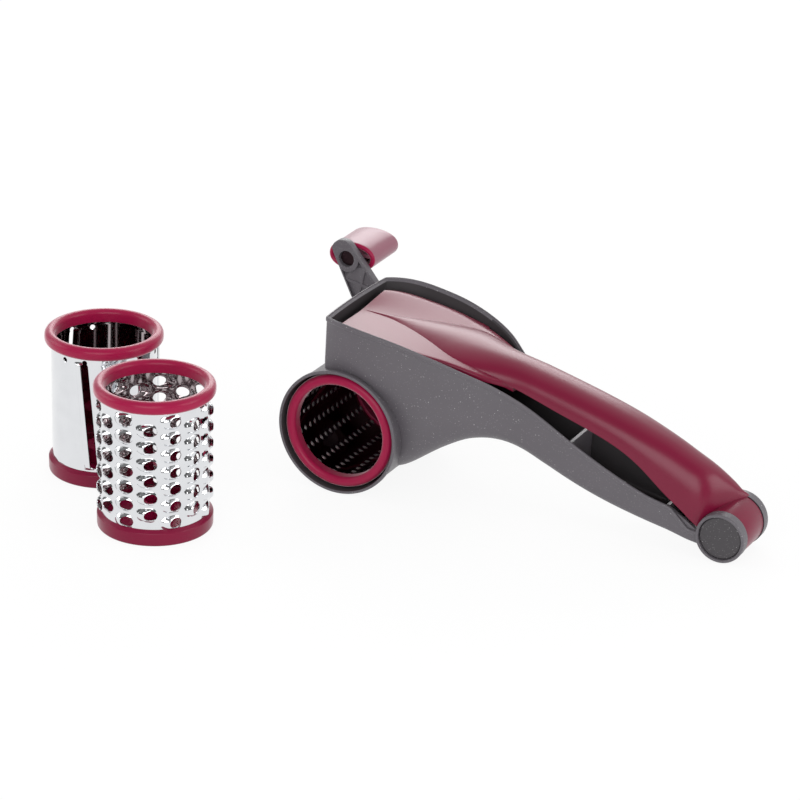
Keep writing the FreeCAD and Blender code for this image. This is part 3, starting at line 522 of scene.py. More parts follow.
def emptied(owner):
    """The node tree of a material or a world, with nothing in it."""
    owner.use_nodes = True
    owner.node_tree.nodes.clear()
    return Graph(owner.node_tree)


def material(name, recipe, *choices):
    """A material whose shader comes from a recipe."""
    made = bpy.data.materials.new(name)
    graph = emptied(made)
    graph.end("ShaderNodeOutputMaterial", recipe(graph, graph.place_in_mm(), *choices))
    return made


def grey_plastic(graph, place, low, high):
    """Dark plastic with pale flecks."""
    fine = graph.noise(place, size=0.35, detail=3.0)
    bright = graph.flecks(place, spacing=1.3, size=0.20, share=0.35)
    faint = graph.flecks(place, spacing=0.8, size=0.22, share=0.50)
    ground = graph.mix(graph.noise(place, size=18.0), low, high)
    dusted = graph.mix(faint * 0.40, ground, (0.30, 0.295, 0.30))
    return graph.shader(colour=graph.mix(bright * 0.75, dusted, (0.62, 0.61, 0.61)), specular=0.5,
                        roughness=0.36 + 0.12 * fine, normal=graph.bump(fine, strength=0.16))


def shade_painted_grey_plastic(graph, place, low, high):
    """Painted shade for the moulding's inner side: a darker grey, smoother and without flecks."""
    fine = graph.noise(place, size=0.5, detail=3.0)
    return graph.shader(colour=graph.mix(graph.noise(place, size=14.0), low, high), specular=0.3,
                        roughness=0.42 + 0.12 * fine, normal=graph.bump(fine, strength=0.10))


def burgundy_plastic(graph, place, low, high, milky, gloss):
    """Glossy plastic with a milky look at a glancing angle."""
    skin = graph.noise(place, size=1.6, detail=3.0)
    grain = graph.noise(place, size=0.25)
    return graph.shader(colour=graph.mix(graph.noise(place, size=26.0), low, high), specular=gloss,
                        roughness=0.27 + 0.08 * grain, sheen=milky, sheen_roughness=0.35,
                        sheen_tint=(1.0, 0.86, 0.90), normal=graph.bump(skin, strength=0.05))


def polished_steel(graph, place, low, high):
    """Bright sheet with faint upright drawing lines."""
    haze = graph.noise(place, size=9.0)
    drawn = graph.node("ShaderNodeMapping", None, {"Vector": place, "Scale": (6.0, 6.0, 0.12)})
    return graph.shader(colour=graph.mix(haze, low, high), metal=1.0,
                        roughness=0.045 + 0.05 * graph.noise(drawn, size=1.0),
                        normal=graph.bump(haze, strength=0.02, distance=0.0005))


def satin_steel(graph, place, low, high):
    """Duller metal for pins and screws."""
    rings = graph.noise(place, size=0.4, detail=3.0)
    return graph.shader(colour=graph.mix(rings, low, high), metal=1.0, roughness=0.24 + 0.14 * rings,
                        normal=graph.bump(rings, strength=0.05))


GREY = material("speckled_grey_plastic", grey_plastic, (0.085, 0.077, 0.087), (0.099, 0.089, 0.101))
# painted shade: a darker grey that paints the shade on the pivot caps' faces in the ears' recesses
SHADE_PAINTED_CAP_GREY = material("shade_painted_cap_plastic", grey_plastic, (0.036, 0.032, 0.036), (0.045, 0.040, 0.045))
# painted shade: a darker grey for the faces inside the hopper, the grip's channel and the bore
SHADE_PAINTED_GREY = material("shade_painted_grey_plastic", shade_painted_grey_plastic, (0.032, 0.029, 0.031),
                      (0.042, 0.038, 0.041))
# every burgundy ends with how milky it is at a glancing angle and how glossy
RED = material("burgundy_plastic", burgundy_plastic, (0.128, 0.002, 0.020), (0.152, 0.003, 0.026),
               0.05, 0.36)
RING_RED = material("crimson_plastic", burgundy_plastic, (0.252, 0.003, 0.038), (0.282, 0.004, 0.044),
                    0.62, 0.22)
BASE_RED = material("foot_plastic", burgundy_plastic, (0.152, 0.003, 0.026), (0.172, 0.004, 0.030),
                    0.22, 0.22)
DISC_RED = material("disc_plastic", burgundy_plastic, (0.330, 0.004, 0.055), (0.370, 0.005, 0.062),
                    0.0, 0.20)
# painted shade: a near-black burgundy for the fine drum's disc and hub inside the barrel
SHADE_PAINTED_DISC_RED = material("shade_painted_burgundy_plastic", burgundy_plastic, (0.034, 0.002, 0.006),
                    (0.042, 0.003, 0.008), 0.0, 0.15)
# painted reflection: a pale, greyish burgundy that paints a broad soft reflection over the knob's outside
SHEEN_PAINTED_KNOB_RED = material("sheen_painted_burgundy_plastic", burgundy_plastic, (0.215, 0.078, 0.108),
                    (0.240, 0.088, 0.120), 0.35, 0.34)
STEEL = material("polished_steel", polished_steel, (0.70, 0.71, 0.73), (0.78, 0.79, 0.81))
# painted shade and painted reflection: a darker, reddish steel for the sleeves' inner side
SHADE_PAINTED_INNER_STEEL = material("shade_painted_inner_steel", polished_steel, (0.36, 0.31, 0.32), (0.42, 0.37, 0.38))
SHADED_STEEL = material("shaded_steel", polished_steel, (0.090, 0.056, 0.062), (0.120, 0.076, 0.084))
# painted glints: a pale steel for the pressed-in lips inside the fine sleeve
GLINT_PAINTED_LIP_STEEL = material("glint_painted_lip_steel", satin_steel, (0.90, 0.88, 0.88), (0.97, 0.95, 0.95))
PIN_STEEL = material("satin_steel", satin_steel, (0.45, 0.45, 0.46), (0.62, 0.62, 0.63))
DARK_STEEL = material("blackened_steel", satin_steel, (0.020, 0.012, 0.014), (0.045, 0.026, 0.030))


# ---- the housing
def rim_z(x):
    """The rim's height, from the hopper down the grip and over its nose."""
    return RIM_Z(x) if x < NOSE_X else NOSE_Z(x)


def near_path(x_end):
    """Stations along the near wall from the grip's end to the middle of the left wall:
    x, distance from the middle, outward normal, and the share of the wall's lean that it takes."""
    corner, reach, corner_steps, left_steps = HOPPER_CORNER_R, 0.2, 7, 8
    xs = list(np.arange(x_end, GRIP_END_X, -0.8))
    xs += list(np.arange(min(x_end, GRIP_END_X), HOPPER_LEFT + corner * 0.5, -1.25))
    stations = []
    for x in xs:
        slope = (RIM_HALF(x + reach) - RIM_HALF(x - reach)) / (2 * reach)
        length = math.hypot(1, slope)
        stations.append((x, RIM_HALF(x), -slope / length, 1 / length, 1 / length))
    tilt = math.atan((RIM_HALF(HOPPER_LEFT + corner) - RIM_HALF(HOPPER_LEFT)) / corner)
    x0 = HOPPER_LEFT + corner * (1 - math.sin(tilt))
    centre = (x0 + corner * math.sin(tilt), RIM_HALF(x0) - corner * math.cos(tilt))
    start, end = math.pi / 2 + tilt, math.pi
    for k in range(1, corner_steps + 1):
        a = start + (end - start) * k / corner_steps
        stations.append((centre[0] + corner * math.cos(a), centre[1] + corner * math.sin(a),
                         math.cos(a), math.sin(a), math.cos(tilt)))
    for k in range(1, left_steps + 1):
        share = 1 - k / left_steps
        left = x0 + corner * math.sin(tilt) - corner - LEFT_BULGE * (1 - share ** 2)
        stations.append((left, centre[1] * share, -1.0, 0.0, math.cos(tilt) * share))
    return stations


def outer_rim(at, top):
    """The upper part of the outer skin: a rounded rim with a small step under it."""
    column = [at(RIM_W, top)]
    column += [at(RIM_R - RIM_R * math.cos(a), top - RIM_R + RIM_R * math.sin(a))
               for a in np.linspace(math.pi / 2, 0, 5)]
    return column + [at(inwards, top - down) for inwards, down in RIM_STEP]


def hollow_rim(at, top, inset):
    """The upper part of the hollow: past the rim, then in along a soft edge to the wall's thickness."""
    mouth = inset - MOUTH_OUT
    column = [at(mouth, top + PAST_RIM), at(mouth, top + 0.05), at(inset - 1.1, top - 0.02)]
    return column + [at(mouth + RIM_R * (1 - math.cos(a)) * 0.6, top - RIM_R * math.sin(a))
                     for a in np.linspace(0.25, math.pi / 2, 4)]


def boat(inset, lift, x_end, with_rim):
    """The hopper and the grip as one closed form, moved in by inset and up from the underside by lift."""
    half_points = []
    for x, w, nx, ny, share in near_path(x_end):
        top, lean = rim_z(x), LEAN(x)
        low = UNDER_Z(max(x, STRAIGHT_X)) + lift
        bend = max(min(LOWER_ROUND(x), max((top - low) * 0.45, 0.6)) - inset, 0.3)

        def at(inwards, z):
            spread = LEFT_SPREAD * min(max(top - z, 0), SPREAD_DEPTH) * max(-nx, 0)
            return (x - nx * inwards - spread, MID_Y - (w - ny * inwards - lean * (top - z) * share), z)
        column = [(max(x, -2.5), MID_Y, top if with_rim else top + PAST_RIM)]
        column += outer_rim(at, top) if with_rim else hollow_rim(at, top, inset)
        side = RIM_STEP[-1][0] if with_rim else inset
        start, base = column[-1][2] - 0.6, low + bend
        for z in np.linspace(start, min(base, start - 0.2), 15):
            column.append(at(side, z))
        for a in np.linspace(0, math.pi / 2, 8)[1:]:
            column.append(at(side + bend * (1 - math.cos(a)), base - bend * math.sin(a)))
        last, bottom_x = column[-1], max(x, 4.0)
        for t in (0.25, 0.5, 0.75, 1.0):
            column.append((last[0] + (bottom_x - last[0]) * t, last[1] + (MID_Y - last[1]) * t, low))
        half_points.append(column)
    near = np.array(half_points)
    far = near.copy()
    far[:, :, 1] = 2 * MID_Y - far[:, :, 1]
    rows, columns = near.shape[:2]
    faces = grid_faces(rows, columns) + [f[::-1] for f in grid_faces(rows, columns, rows * columns)]
    end = list(range(columns)) + [rows * columns + j for j in range(columns - 2, 0, -1)]
    faces.append(tuple(end))
    return np.vstack([near.reshape(-1, 3), far.reshape(-1, 3)]), faces


def wall_half(x, z):
    """Half the housing's width at a height."""
    return RIM_HALF(x) - LEAN(x) * (rim_z(x) - z)


def cross_board(line):
    """A board across the housing that follows a line of (x, z) points; its ends lie inside the walls."""
    sections = []
    for i, (x, z) in enumerate(line):
        before, after = line[max(i - 1, 0)], line[min(i + 1, len(line) - 1)]
        dx, dz = after[0] - before[0], after[1] - before[1]
        length = math.hypot(dx, dz)
        nx, nz = dz / length * BOARD_T, -dx / length * BOARD_T
        a, b = wall_half(x, z) - BOARD_TRIM, wall_half(x + nx, z + nz) - BOARD_TRIM
        sections.append([(x, MID_Y - a, z), (x, MID_Y + a, z), (x + nx, MID_Y + b, z + nz),
                         (x + nx, MID_Y - b, z + nz)])
    return loft(sections)


def cross_rib(x):
    """An upright rib from the floor to a little under the rim."""
    low, high = UNDER_Z(x) + RIB_SUNK, rim_z(x) - RIB_DROP
    sections = []
    for place in (x, x + RIB_T):
        widths = [(wall_half(x, z) - RIB_SUNK - (2.0 if z < low + 2 else 0), z)
                  for z in np.linspace(high, low, 8)]
        sections.append([(place, MID_Y - w, z) for w, z in widths]
                        + [(place, MID_Y + w, z) for w, z in widths[::-1]])
    return loft(sections)


def bent_wall():
    """The wall behind the feed chamber, an arc round the lever's pivot."""
    return cross_board([(PIVOT_X - math.sqrt(BENT_WALL_R ** 2 - (z - PIVOT_Z) ** 2), z)
                        for z in np.linspace(*BENT_WALL_Z, 12)])


def barrel():
    """The barrel with its beads and its back wall, open at the mouth."""
    corners = [(BORE_R + MOUTH_FLARE, 0), (BEAD_R, 0), (BEAD_R, MOUTH_BEAD[0]), (BARREL_R, MOUTH_BEAD[1]),
               (BARREL_R, BACK_BEAD[0]), (BEAD_R, BACK_BEAD[1]), (BEAD_R, BARREL_LENGTH),
               (JOURNAL_HOLE_R, BARREL_LENGTH), (JOURNAL_HOLE_R, BACK_WALL_Y), (BORE_R, BACK_WALL_Y),
               (BORE_R, FLARE_DEPTH)]
    rounds = [0.3, 0.6, 0.25, 0.3, 0.3, 0.25, 0.6, 0.3, 0.3, 0.5, 0]
    return along_y(turned(rounded(corners, rounds), 200), 0, 0, AXIS_Z)


def swayed(points, shift):
    """Shifts a turned form's outer part sideways and keeps its pin hole."""
    outer = np.hypot(points[:, 0], points[:, 1]) > PIN_R + 1
    return points + np.outer(outer, [shift[0], shift[1], 0])


def ear(side):
    """A round ear with a raised rim and a recess for its cap; the far one is a little larger."""
    radius, shift = (KNUCKLE_R, NEAR_EAR_SHIFT) if side < 0 else (FAR_EAR_R, FAR_EAR_SHIFT)
    room = CAP_ROOM_R + radius - KNUCKLE_R
    collar = LEVER_KNUCKLE_R + EAR_GAP + radius - KNUCKLE_R
    back, recess = EAR_INNER - COLLAR_W, EAR_OUTER - CAP_SINK
    profile = rounded([(PIN_R, EAR_INNER), (collar, EAR_INNER), (collar, back), (radius, back),
                       (radius, EAR_OUTER), (room, EAR_OUTER), (room, recess), (PIN_R, recess)],
                      [0.1, 0, 0, 0, 0.8, 0.5, 0.1, 0.1])
    points, faces = turned(profile, 120)
    points, faces = along_y((swayed(points, shift), faces), PIVOT_X, 0, PIVOT_Z)
    points[:, 1] = MID_Y + side * points[:, 1]
    return points, faces


def ear_cheek(side):
    """The thin web that carries an ear inside the grip's wall."""
    outline = [(148, 13), (151, 21.0), (159.8, 15.8), (168.4, 10.2), (168.4, 5.8), (150, 10.5)]
    y0, y1 = sorted((MID_Y + side * EAR_INNER, MID_Y + side * (EAR_INNER + CHEEK_T)))
    return loft([[(x, y, z) for x, z in outline] for y in (y0, y1)])


def housing():
    """Hopper and grip in one skin, the barrel, the feed chamber's boards, the ribs and the ears."""
    skin = cut(form("skin", boat(0, 0, SKIN_END_X, True), GREY),
               form("hollow", boat(WALL, FLOOR, HOLLOW_END_X, False), SHADE_PAINTED_GREY),
               form("bore", plug(SKIN_BORE_R, BEYOND[0], SKIN_BORE_BACK), SHADE_PAINTED_GREY))
    # faces left by the hollow and the bore keep the darker grey of painted shade, except near the rim
    for face, (x, y, z) in faces_of(skin):
        if z > rim_z(x) - RIM_BAND:
            face.material_index = 0
    drum_barrel = cut(form("barrel", barrel(), GREY),
                      form("chamber", boat(WALL, CHAMBER_LIFT, CHAMBER_RIGHT, False), SHADE_PAINTED_GREY))
    # the bore's faces take the darker grey of painted shade
    for face, (x, y, z) in faces_of(drum_barrel):
        if math.hypot(x, z - AXIS_Z) < BORE_R + 0.5 and y > 0.3:
            face.material_index = 1
    parts = [skin, drum_barrel, cross_board(CHUTE), bent_wall()] + [cross_rib(x) for x in RIB_PLACES]
    parts += [ear(s) for s in (-1, 1)] + [ear_cheek(s) for s in (-1, 1)]
    finished(merged("housing", *parts), "housing", [GREY, SHADE_PAINTED_GREY], "body_shell")


# ---- the lever
def arch_section(x, inset=0.0, drop=0.0, count=44):
    """One section of the handle, from its near foot over the crest to its far foot."""
    middle, foot = CREST_Y(x), FOOT_Y(x)
    width = middle - foot - inset
    base = (FLANK_Z(x) if x > FLANK_X else PLATE_Z(x) - FOOT_SUNK) - drop
    if HANDLE_FOOT_X < x <= FLANK_X:
        share = (x - HANDLE_FOOT_X) / (FLANK_X - HANDLE_FOOT_X)
        base = (PLATE_Z(x) - FOOT_SUNK) * (1 - share) + FLANK_Z(x) * share - drop
    height = CREST_Z(x) - inset - base
    across, rise = ARCH_ACROSS(x), ARCH_RISE(x)
    section = []
    for k in range(count + 1):
        u = -math.cos(math.pi * k / count)
        section.append((x, middle + u * width, base + height * (1 - abs(u) ** across) ** rise))
    return section


def handle():
    """The lever's arched top, from the plate's left end to the tail over the pivot."""
    xs = list(np.arange(-3.0, TAIL_X, 1.3)) + list(np.arange(TAIL_X, LEVER_RIGHT, 0.5))
    return loft([arch_section(x) for x in xs])


def handle_hollow():
    return loft([arch_section(x, HANDLE_WALL, HANDLE_OPEN) for x in np.arange(*HOLLOW_X, 1.5)])


def dip(x, to_edge):
    """How far the plate's top lies under its line: its far margin falls and its middle is crowned."""
    return (MARGIN_FALL(x) * max(1 - to_edge / MARGIN_W, 0) ** 2
            - PLATE_CROWN(x) * smooth(1.1 - to_edge / CROWN_REACH))


def plate():
    """The presser's plate with a rounded edge; its far margin bends down."""
    r = PLATE_EDGE_R
    sections = []
    for x in np.arange(LEVER_LEFT, 76.1, 1.1):
        z, near = PLATE_Z(x), PLATE_NEAR_Y(x)
        half = MID_Y - near
        section = [(x, MID_Y - half + r - r * math.sin(math.pi / 2 - a), z - r + r * math.sin(a))
                   for a in np.linspace(0, math.pi / 2, 5)]
        for t in np.linspace(-0.96, 0.96, 41):
            section.append((x, MID_Y + t * (half - r), z - dip(x, half - t * (half - r))))
        for a in np.linspace(math.pi / 2, 0, 5):
            section.append((x, MID_Y + half - r + r * math.cos(a), z - dip(x, r) - r + r * math.sin(a)))
        section += [(x, MID_Y + half, z - PLATE_T - dip(x, 0)), (x, MID_Y - half, z - PLATE_T)]
        sections.append(section)
    return loft(sections)


def knuckle():
    """The lever's barrel round the pin, with stepped ends inside the ears' collars. From its near end
    to its far end it follows the ears' shifts and the far ear's larger size."""
    end, step = LEVER_KNUCKLE_HALF, LEVER_KNUCKLE_HALF - COLLAR_W - STEP_GAP
    bore = PIN_R + PIN_GAP
    points, faces = turned(rounded(
        [(bore, -end), (KNUCKLE_END_R, -end), (KNUCKLE_END_R, -step), (LEVER_KNUCKLE_R, -step),
         (LEVER_KNUCKLE_R, step), (KNUCKLE_END_R, step), (KNUCKLE_END_R, end), (bore, end)],
        [0.1, 0.2, 0, 0.1, 0.1, 0, 0.2, 0.1], 4), 120)
    share = np.array([smooth((h + LEVER_KNUCKLE_HALF) / (1.7 * LEVER_KNUCKLE_HALF)) for h in points[:, 2]])
    outer = np.hypot(points[:, 0], points[:, 1]) > KNUCKLE_END_R + 0.1
    near, far = np.array(NEAR_EAR_SHIFT), np.array(FAR_EAR_SHIFT)
    points[:, :2] *= (1 + outer * share * (FAR_EAR_R - KNUCKLE_R) / KNUCKLE_R)[:, None]
    points[:, :2] += outer[:, None] * (near + np.outer(share, far - near))
    return along_y((points, faces), PIVOT_X, MID_Y, PIVOT_Z)


def lever():
    """Handle, plate and knuckle in one, with room for the ears and the pin."""
    before, beyond = BEYOND
    rooms = ((before, MID_Y - EAR_INNER + COLLAR_W + 0.05), (MID_Y + EAR_INNER - 0.05, beyond))
    clear = [form("ear_room", plug(KNUCKLE_R + EAR_ROOM, y0, y1, PIVOT_X, PIVOT_Z)) for y0, y1 in rooms]
    pin_room = form("pin_room", plug(PIN_R + PIN_GAP, before, beyond, PIVOT_X, PIVOT_Z, 48))
    arm = cut(form("handle", handle()), form("handle_hollow", handle_hollow()), *clear, pin_room)
    finished(merged("lever", arm, plate(), knuckle()), "lever", [RED], "lever_shell")


# ---- the knob
def knob_ring(y, inset, count=96, power=2.2):
    """A flattened oval round the knob's spindle; the knob tapers and dips a little towards its far end."""
    share = (y - KNOB_FRONT_Y) / (KNOB_BACK_Y - KNOB_FRONT_Y)
    half_w = KNOB_HALF_W + (KNOB_END_HALF_W - KNOB_HALF_W) * share - inset
    half_h = KNOB_HALF_H + (KNOB_END_HALF_H - KNOB_HALF_H) * share - inset
    middle_z = EYE_Z - KNOB_DROP + (KNOB_DROP - KNOB_END_DROP) * share
    ring = []
    for k in range(count):
        a = 2 * math.pi * k / count
        c, s = math.cos(a), math.sin(a)
        ring.append((EYE_X + half_w * math.copysign(abs(c) ** (2 / power), c), y,
                     middle_z + half_h * math.copysign(abs(s) ** (2 / power), s)))
    return ring


def knob_shell():
    """The oval shell, closed at its far end and open towards the arm."""
    lip, turn_in, inner_y = KNOB_WALL / 2, KNOB_END_ROUND, KNOB_BACK_Y - KNOB_WALL
    rings = []
    for a in np.linspace(-math.pi / 2, math.pi / 2, 7):
        rings.append(knob_ring(KNOB_FRONT_Y + lip * (1 - math.cos(a)) * 0.8, lip - lip * math.sin(a)))
    straight = np.linspace(KNOB_FRONT_Y + 1.6, KNOB_BACK_Y - turn_in, 10)
    rings += [knob_ring(y, 0) for y in straight]
    for a in np.linspace(0, math.pi / 2, 8)[1:]:
        rings.append(knob_ring(KNOB_BACK_Y - turn_in * (1 - math.sin(a)), turn_in * (1 - math.cos(a))))
    rings += [knob_ring(KNOB_BACK_Y, turn_in + t) for t in (1.2, 2.4, 3.4, 3.95)]
    end = len(rings) - 1
    rings += [knob_ring(inner_y, turn_in + 3.95), knob_ring(inner_y, KNOB_WALL + 0.6),
              knob_ring(inner_y - 0.6, KNOB_WALL)]
    rings += [knob_ring(y, KNOB_WALL) for y in straight[::-1][1:]]
    columns = len(rings[0])
    faces = [f for f in grid_faces(len(rings), columns, loop_rows=True, loop_columns=True)
             if f[0] // columns != end]
    faces.append(tuple(end * columns + j for j in range(columns)))
    faces.append(tuple((end + 1) * columns + j for j in range(columns))[::-1])
    return np.array(rings).reshape(-1, 3), faces


def knob():
    """The shell with its tube and the webs that hold the tube. Its outside is a pale burgundy with a painted
    reflection; its rim and all of its inside have the plain crimson.
    """
    wall = [(TUBE_BORE_R, 0), (TUBE_R, 0), (TUBE_R, TUBE_L), (TUBE_BORE_R, TUBE_L)]
    tube = turned(rounded(wall, 0.3, 3), 64)
    outline = ((WEB_IN, -WEB_HALF), (WEB_OUT, -WEB_HALF), (WEB_OUT, WEB_HALF), (WEB_IN, WEB_HALF))
    web = [[(EYE_X + x, y, EYE_Z + z) for x, z in outline]
           for y in (KNOB_FRONT_Y + 2.5, KNOB_FRONT_Y + TUBE_L)]
    other = (np.array(web) * [-1, 1, 1] + [2 * EYE_X, 0, 0]).tolist()
    made = merged("knob", knob_shell(), along_y(tube, EYE_X, KNOB_FRONT_Y, EYE_Z), loft(web), loft(other))
    # the rim and the inside take the crimson; the rest keeps the pale burgundy of painted reflection
    for face, (x, y, z) in faces_of(made):
        if y < KNOB_FRONT_Y + 1.2 or face.normal.dot(Vector((x - EYE_X, 0, z - EYE_Z))) < 0:
            face.material_index = 1
    finished(made, "knob", [SHEEN_PAINTED_KNOB_RED, RING_RED], "knob_shell")


# ---- drums, built standing on their base ring round the z axis
def front_ring():
    """The rounded ring at the drum's open end."""
    low, high = DRUM_LENGTH - FRONT_RING_H, DRUM_LENGTH
    outer, inner = FRONT_RING_R, RING_INNER_R
    return turned(rounded([(inner, low), (SLEEVE_R + 0.05, low), (outer, low), (outer, high), (inner, high)],
                          [0.3, 0, 2.1, 2.5, 2.1], 8), 200)


def base_ring():
    """The chamfered foot ring, the disc in it, the hub and the hexagon that is cut out of the hub."""
    outer, inner, low, high = BASE_RING_R, RING_INNER_R, DISC_Z, BASE_RING_H
    ring = turned(rounded([(inner, 0), (outer, 0), (outer + 0.1, high - 1.3), (SLEEVE_R + 0.15, high),
                           (inner, high)], [0.5, 1.1, 0.7, 0.15, 0.4]), 160)
    disc = turned(rounded([(HUB_BORE_R, low), (inner + 0.6, low), (inner + 0.6, low + DISC_T),
                           (HUB_BORE_R, low + DISC_T)], 0.1, 2), 120)
    hub = turned(rounded([(HUB_BORE_R, low - 0.01), (HUB_R, low - 0.01), (HUB_R, low + HUB_H),
                          (HUB_BORE_R, low + HUB_H)], [0.1, 0.1, 0.6, 0.1], 4), 96)
    hexagon = [(HEXAGON_R * math.cos(a), HEXAGON_R * math.sin(a)) for a in np.radians(np.arange(30, 390, 60))]
    socket = loft([[(x, y, z) for x, y in hexagon] for z in (-1, 14)])
    return ring, disc, hub, socket


EVEN_SHARES = (0, 0.05, 0.14, 0.26, 0.4, 0.55, 0.7, 0.85, 1)


def tile(width, height, across, up, hole, lift, shares=EVEN_SHARES):
    """A flat piece of the sleeve with one hole, the metal round it raised by lift(u, v).
    hole(side, share, point) gives the hole's edge for a point of the tile's edge."""
    edge = []
    for k in range(across):
        edge.append(("low", k / across, (-width / 2 + width * k / across, -height / 2)))
    for k in range(up):
        edge.append(("right", k / up, (width / 2, -height / 2 + height * k / up)))
    for k in range(across):
        edge.append(("high", k / across, (width / 2 - width * k / across, height / 2)))
    for k in range(up):
        edge.append(("left", k / up, (-width / 2, height / 2 - height * k / up)))
    points = []
    for share in shares:
        for side, place, corner in edge:
            start = hole(side, place, corner)
            u = start[0] + (corner[0] - start[0]) * share
            v = start[1] + (corner[1] - start[1]) * share
            points.append((u, lift(u, v) if share < 1 else 0.0, v))
    faces = grid_faces(len(shares), len(edge), loop_columns=True)
    return np.array(points), [f[::-1] for f in faces]


def plain_tile(width, height, across, up):
    """A flat piece of the sleeve without a hole."""
    points = [(-width / 2 + width * i / across, 0, -height / 2 + height * j / up)
              for j in range(up + 1) for i in range(across + 1)]
    return points, [f[::-1] for f in grid_faces(up + 1, across + 1)]


def oval_hole(cu, cv, a, b):
    """An oval round (cu, cv), met in the direction of each point of the tile's edge."""
    def edge(side, share, corner):
        angle = math.atan2((corner[1] - cv) / b, (corner[0] - cu) / a)
        return cu + a * math.cos(angle), cv + b * math.sin(angle)
    return edge


def tooth(tip, lip, middle, end, half, height):
    """A raised tooth: a ramp from its tip to the lip, then the hole's rim falls evenly to the end."""
    def lift(u, v):
        if u <= tip or u >= end:
            return 0.0
        grown = min((u - tip) / (middle - tip), 1.0)
        if u < middle:
            reach = half * math.sin(grown * math.pi / 2) ** 0.55
        else:
            reach = half * math.sqrt(1 - ((u - middle) / (end - middle)) ** 2)
        if u < lip:
            rise = math.sin((u - tip) / (lip - tip) * math.pi / 2) ** 1.3
        else:
            rise = (end - u) / (end - lip)
        side = max(1 - (abs(v) / max(reach, 0.01)) ** 4.0, 0)
        return height * rise * side
    return lift


def coarse_tile(width, height, across, up):
    """One raised tooth behind its oval hole."""
    return tile(width, height, across, up, oval_hole(2.1, 0, 2.8, 2.4),
                tooth(tip=-5.2, lip=-0.8, middle=2.0, end=5.2, half=3.3, height=1.8))


LIP_DEPTH, LIP_RISE = 0.7, 0.45


def fine_tile(width, height, across, up):
    """A short slot, its mouth side pressed in and its other side pressed out."""
    def lift(u, v):
        side = max(1 - (u / 1.3) ** 2, 0)
        swing = min(max(v / 0.35, -1), 1) * side * smooth((1.7 - abs(v)) / 1.2)
        return -(LIP_DEPTH if v > 0 else LIP_RISE) * swing
    return tile(width, height, across, up, oval_hole(0.0, 0, 0.95, 0.5), lift)


BLADES = 3
SLICE_SLANT = math.radians(4.6)
SLICE_HALF, SLICE_HALF_W, SLICE_UP = 25.2, 1.6, 0.4
BLADE_W, BLADE_STEP, BLADE_RISE = 2.8, 0.3, 0.9
SLICE_SHARES = (0, 0.02, 0.05, 0.08, 0.105, 0.115, 0.122, 0.13, 0.14, 0.18, 0.3, 0.5, 0.75, 1)
PIN_HOLE_R = 1.2
PIN_HOLES = ((-15.0, 58.8), (10.5, 59.4))     # degrees from the blade's middle, and height


def slice_hole(side, share, corner):
    """A long slanted slot with round ends."""
    if side in ("left", "right"):
        t = (share - 0.5) * 2 * (1 if side == "right" else -1)
        u, v = (SLICE_HALF_W if side == "right" else -SLICE_HALF_W), t * (SLICE_HALF - SLICE_HALF_W)
    else:
        a = math.pi * (share if side == "high" else 1 + share)
        u, v = SLICE_HALF_W * math.cos(a), SLICE_HALF_W * math.sin(a)
        v += (SLICE_HALF - SLICE_HALF_W) * (1 if side == "high" else -1)
    c, s = math.cos(SLICE_SLANT), math.sin(SLICE_SLANT)
    return u * c - v * s, u * s + v * c + SLICE_UP


def slice_lift(u, v):
    """The blade: a small step, then a ramp that rises to the slot's left edge."""
    c, s = math.cos(SLICE_SLANT), math.sin(SLICE_SLANT)
    v = v - SLICE_UP
    across, along = u * c + v * s, -u * s + v * c
    into = across + SLICE_HALF_W + BLADE_W
    if across > 0 or into < 0:
        return 0.0
    rise = BLADE_STEP * smooth(into / 0.3) + BLADE_RISE * min(into / BLADE_W, 1)
    return rise * smooth((SLICE_HALF + 0.6 - abs(along)) / 1.6)


def slice_tile(width, height, across, up):
    return tile(width, height, across, up, slice_hole, slice_lift, SLICE_SHARES)


def pin_holes(made):
    """Two small round holes above each blade."""
    bars = []
    for k in range(BLADES):
        for turn, height in PIN_HOLES:
            a = math.radians(turn + 120 * k)
            out = np.array([math.sin(a), -math.cos(a), 0])
            side = np.array([math.cos(a), math.sin(a), 0])
            ring = [side * PIN_HOLE_R * math.cos(t) + np.array([0, 0, height + PIN_HOLE_R * math.sin(t)])
                    for t in np.linspace(0, 2 * math.pi, 17)[:-1]]
            bar = loft([[p + out * r for p in ring] for r in (27, 20)])
            bars.append(thing("pin_bar", raw_mesh("pin_bar", bar, 0)))
    cut(made, *bars)


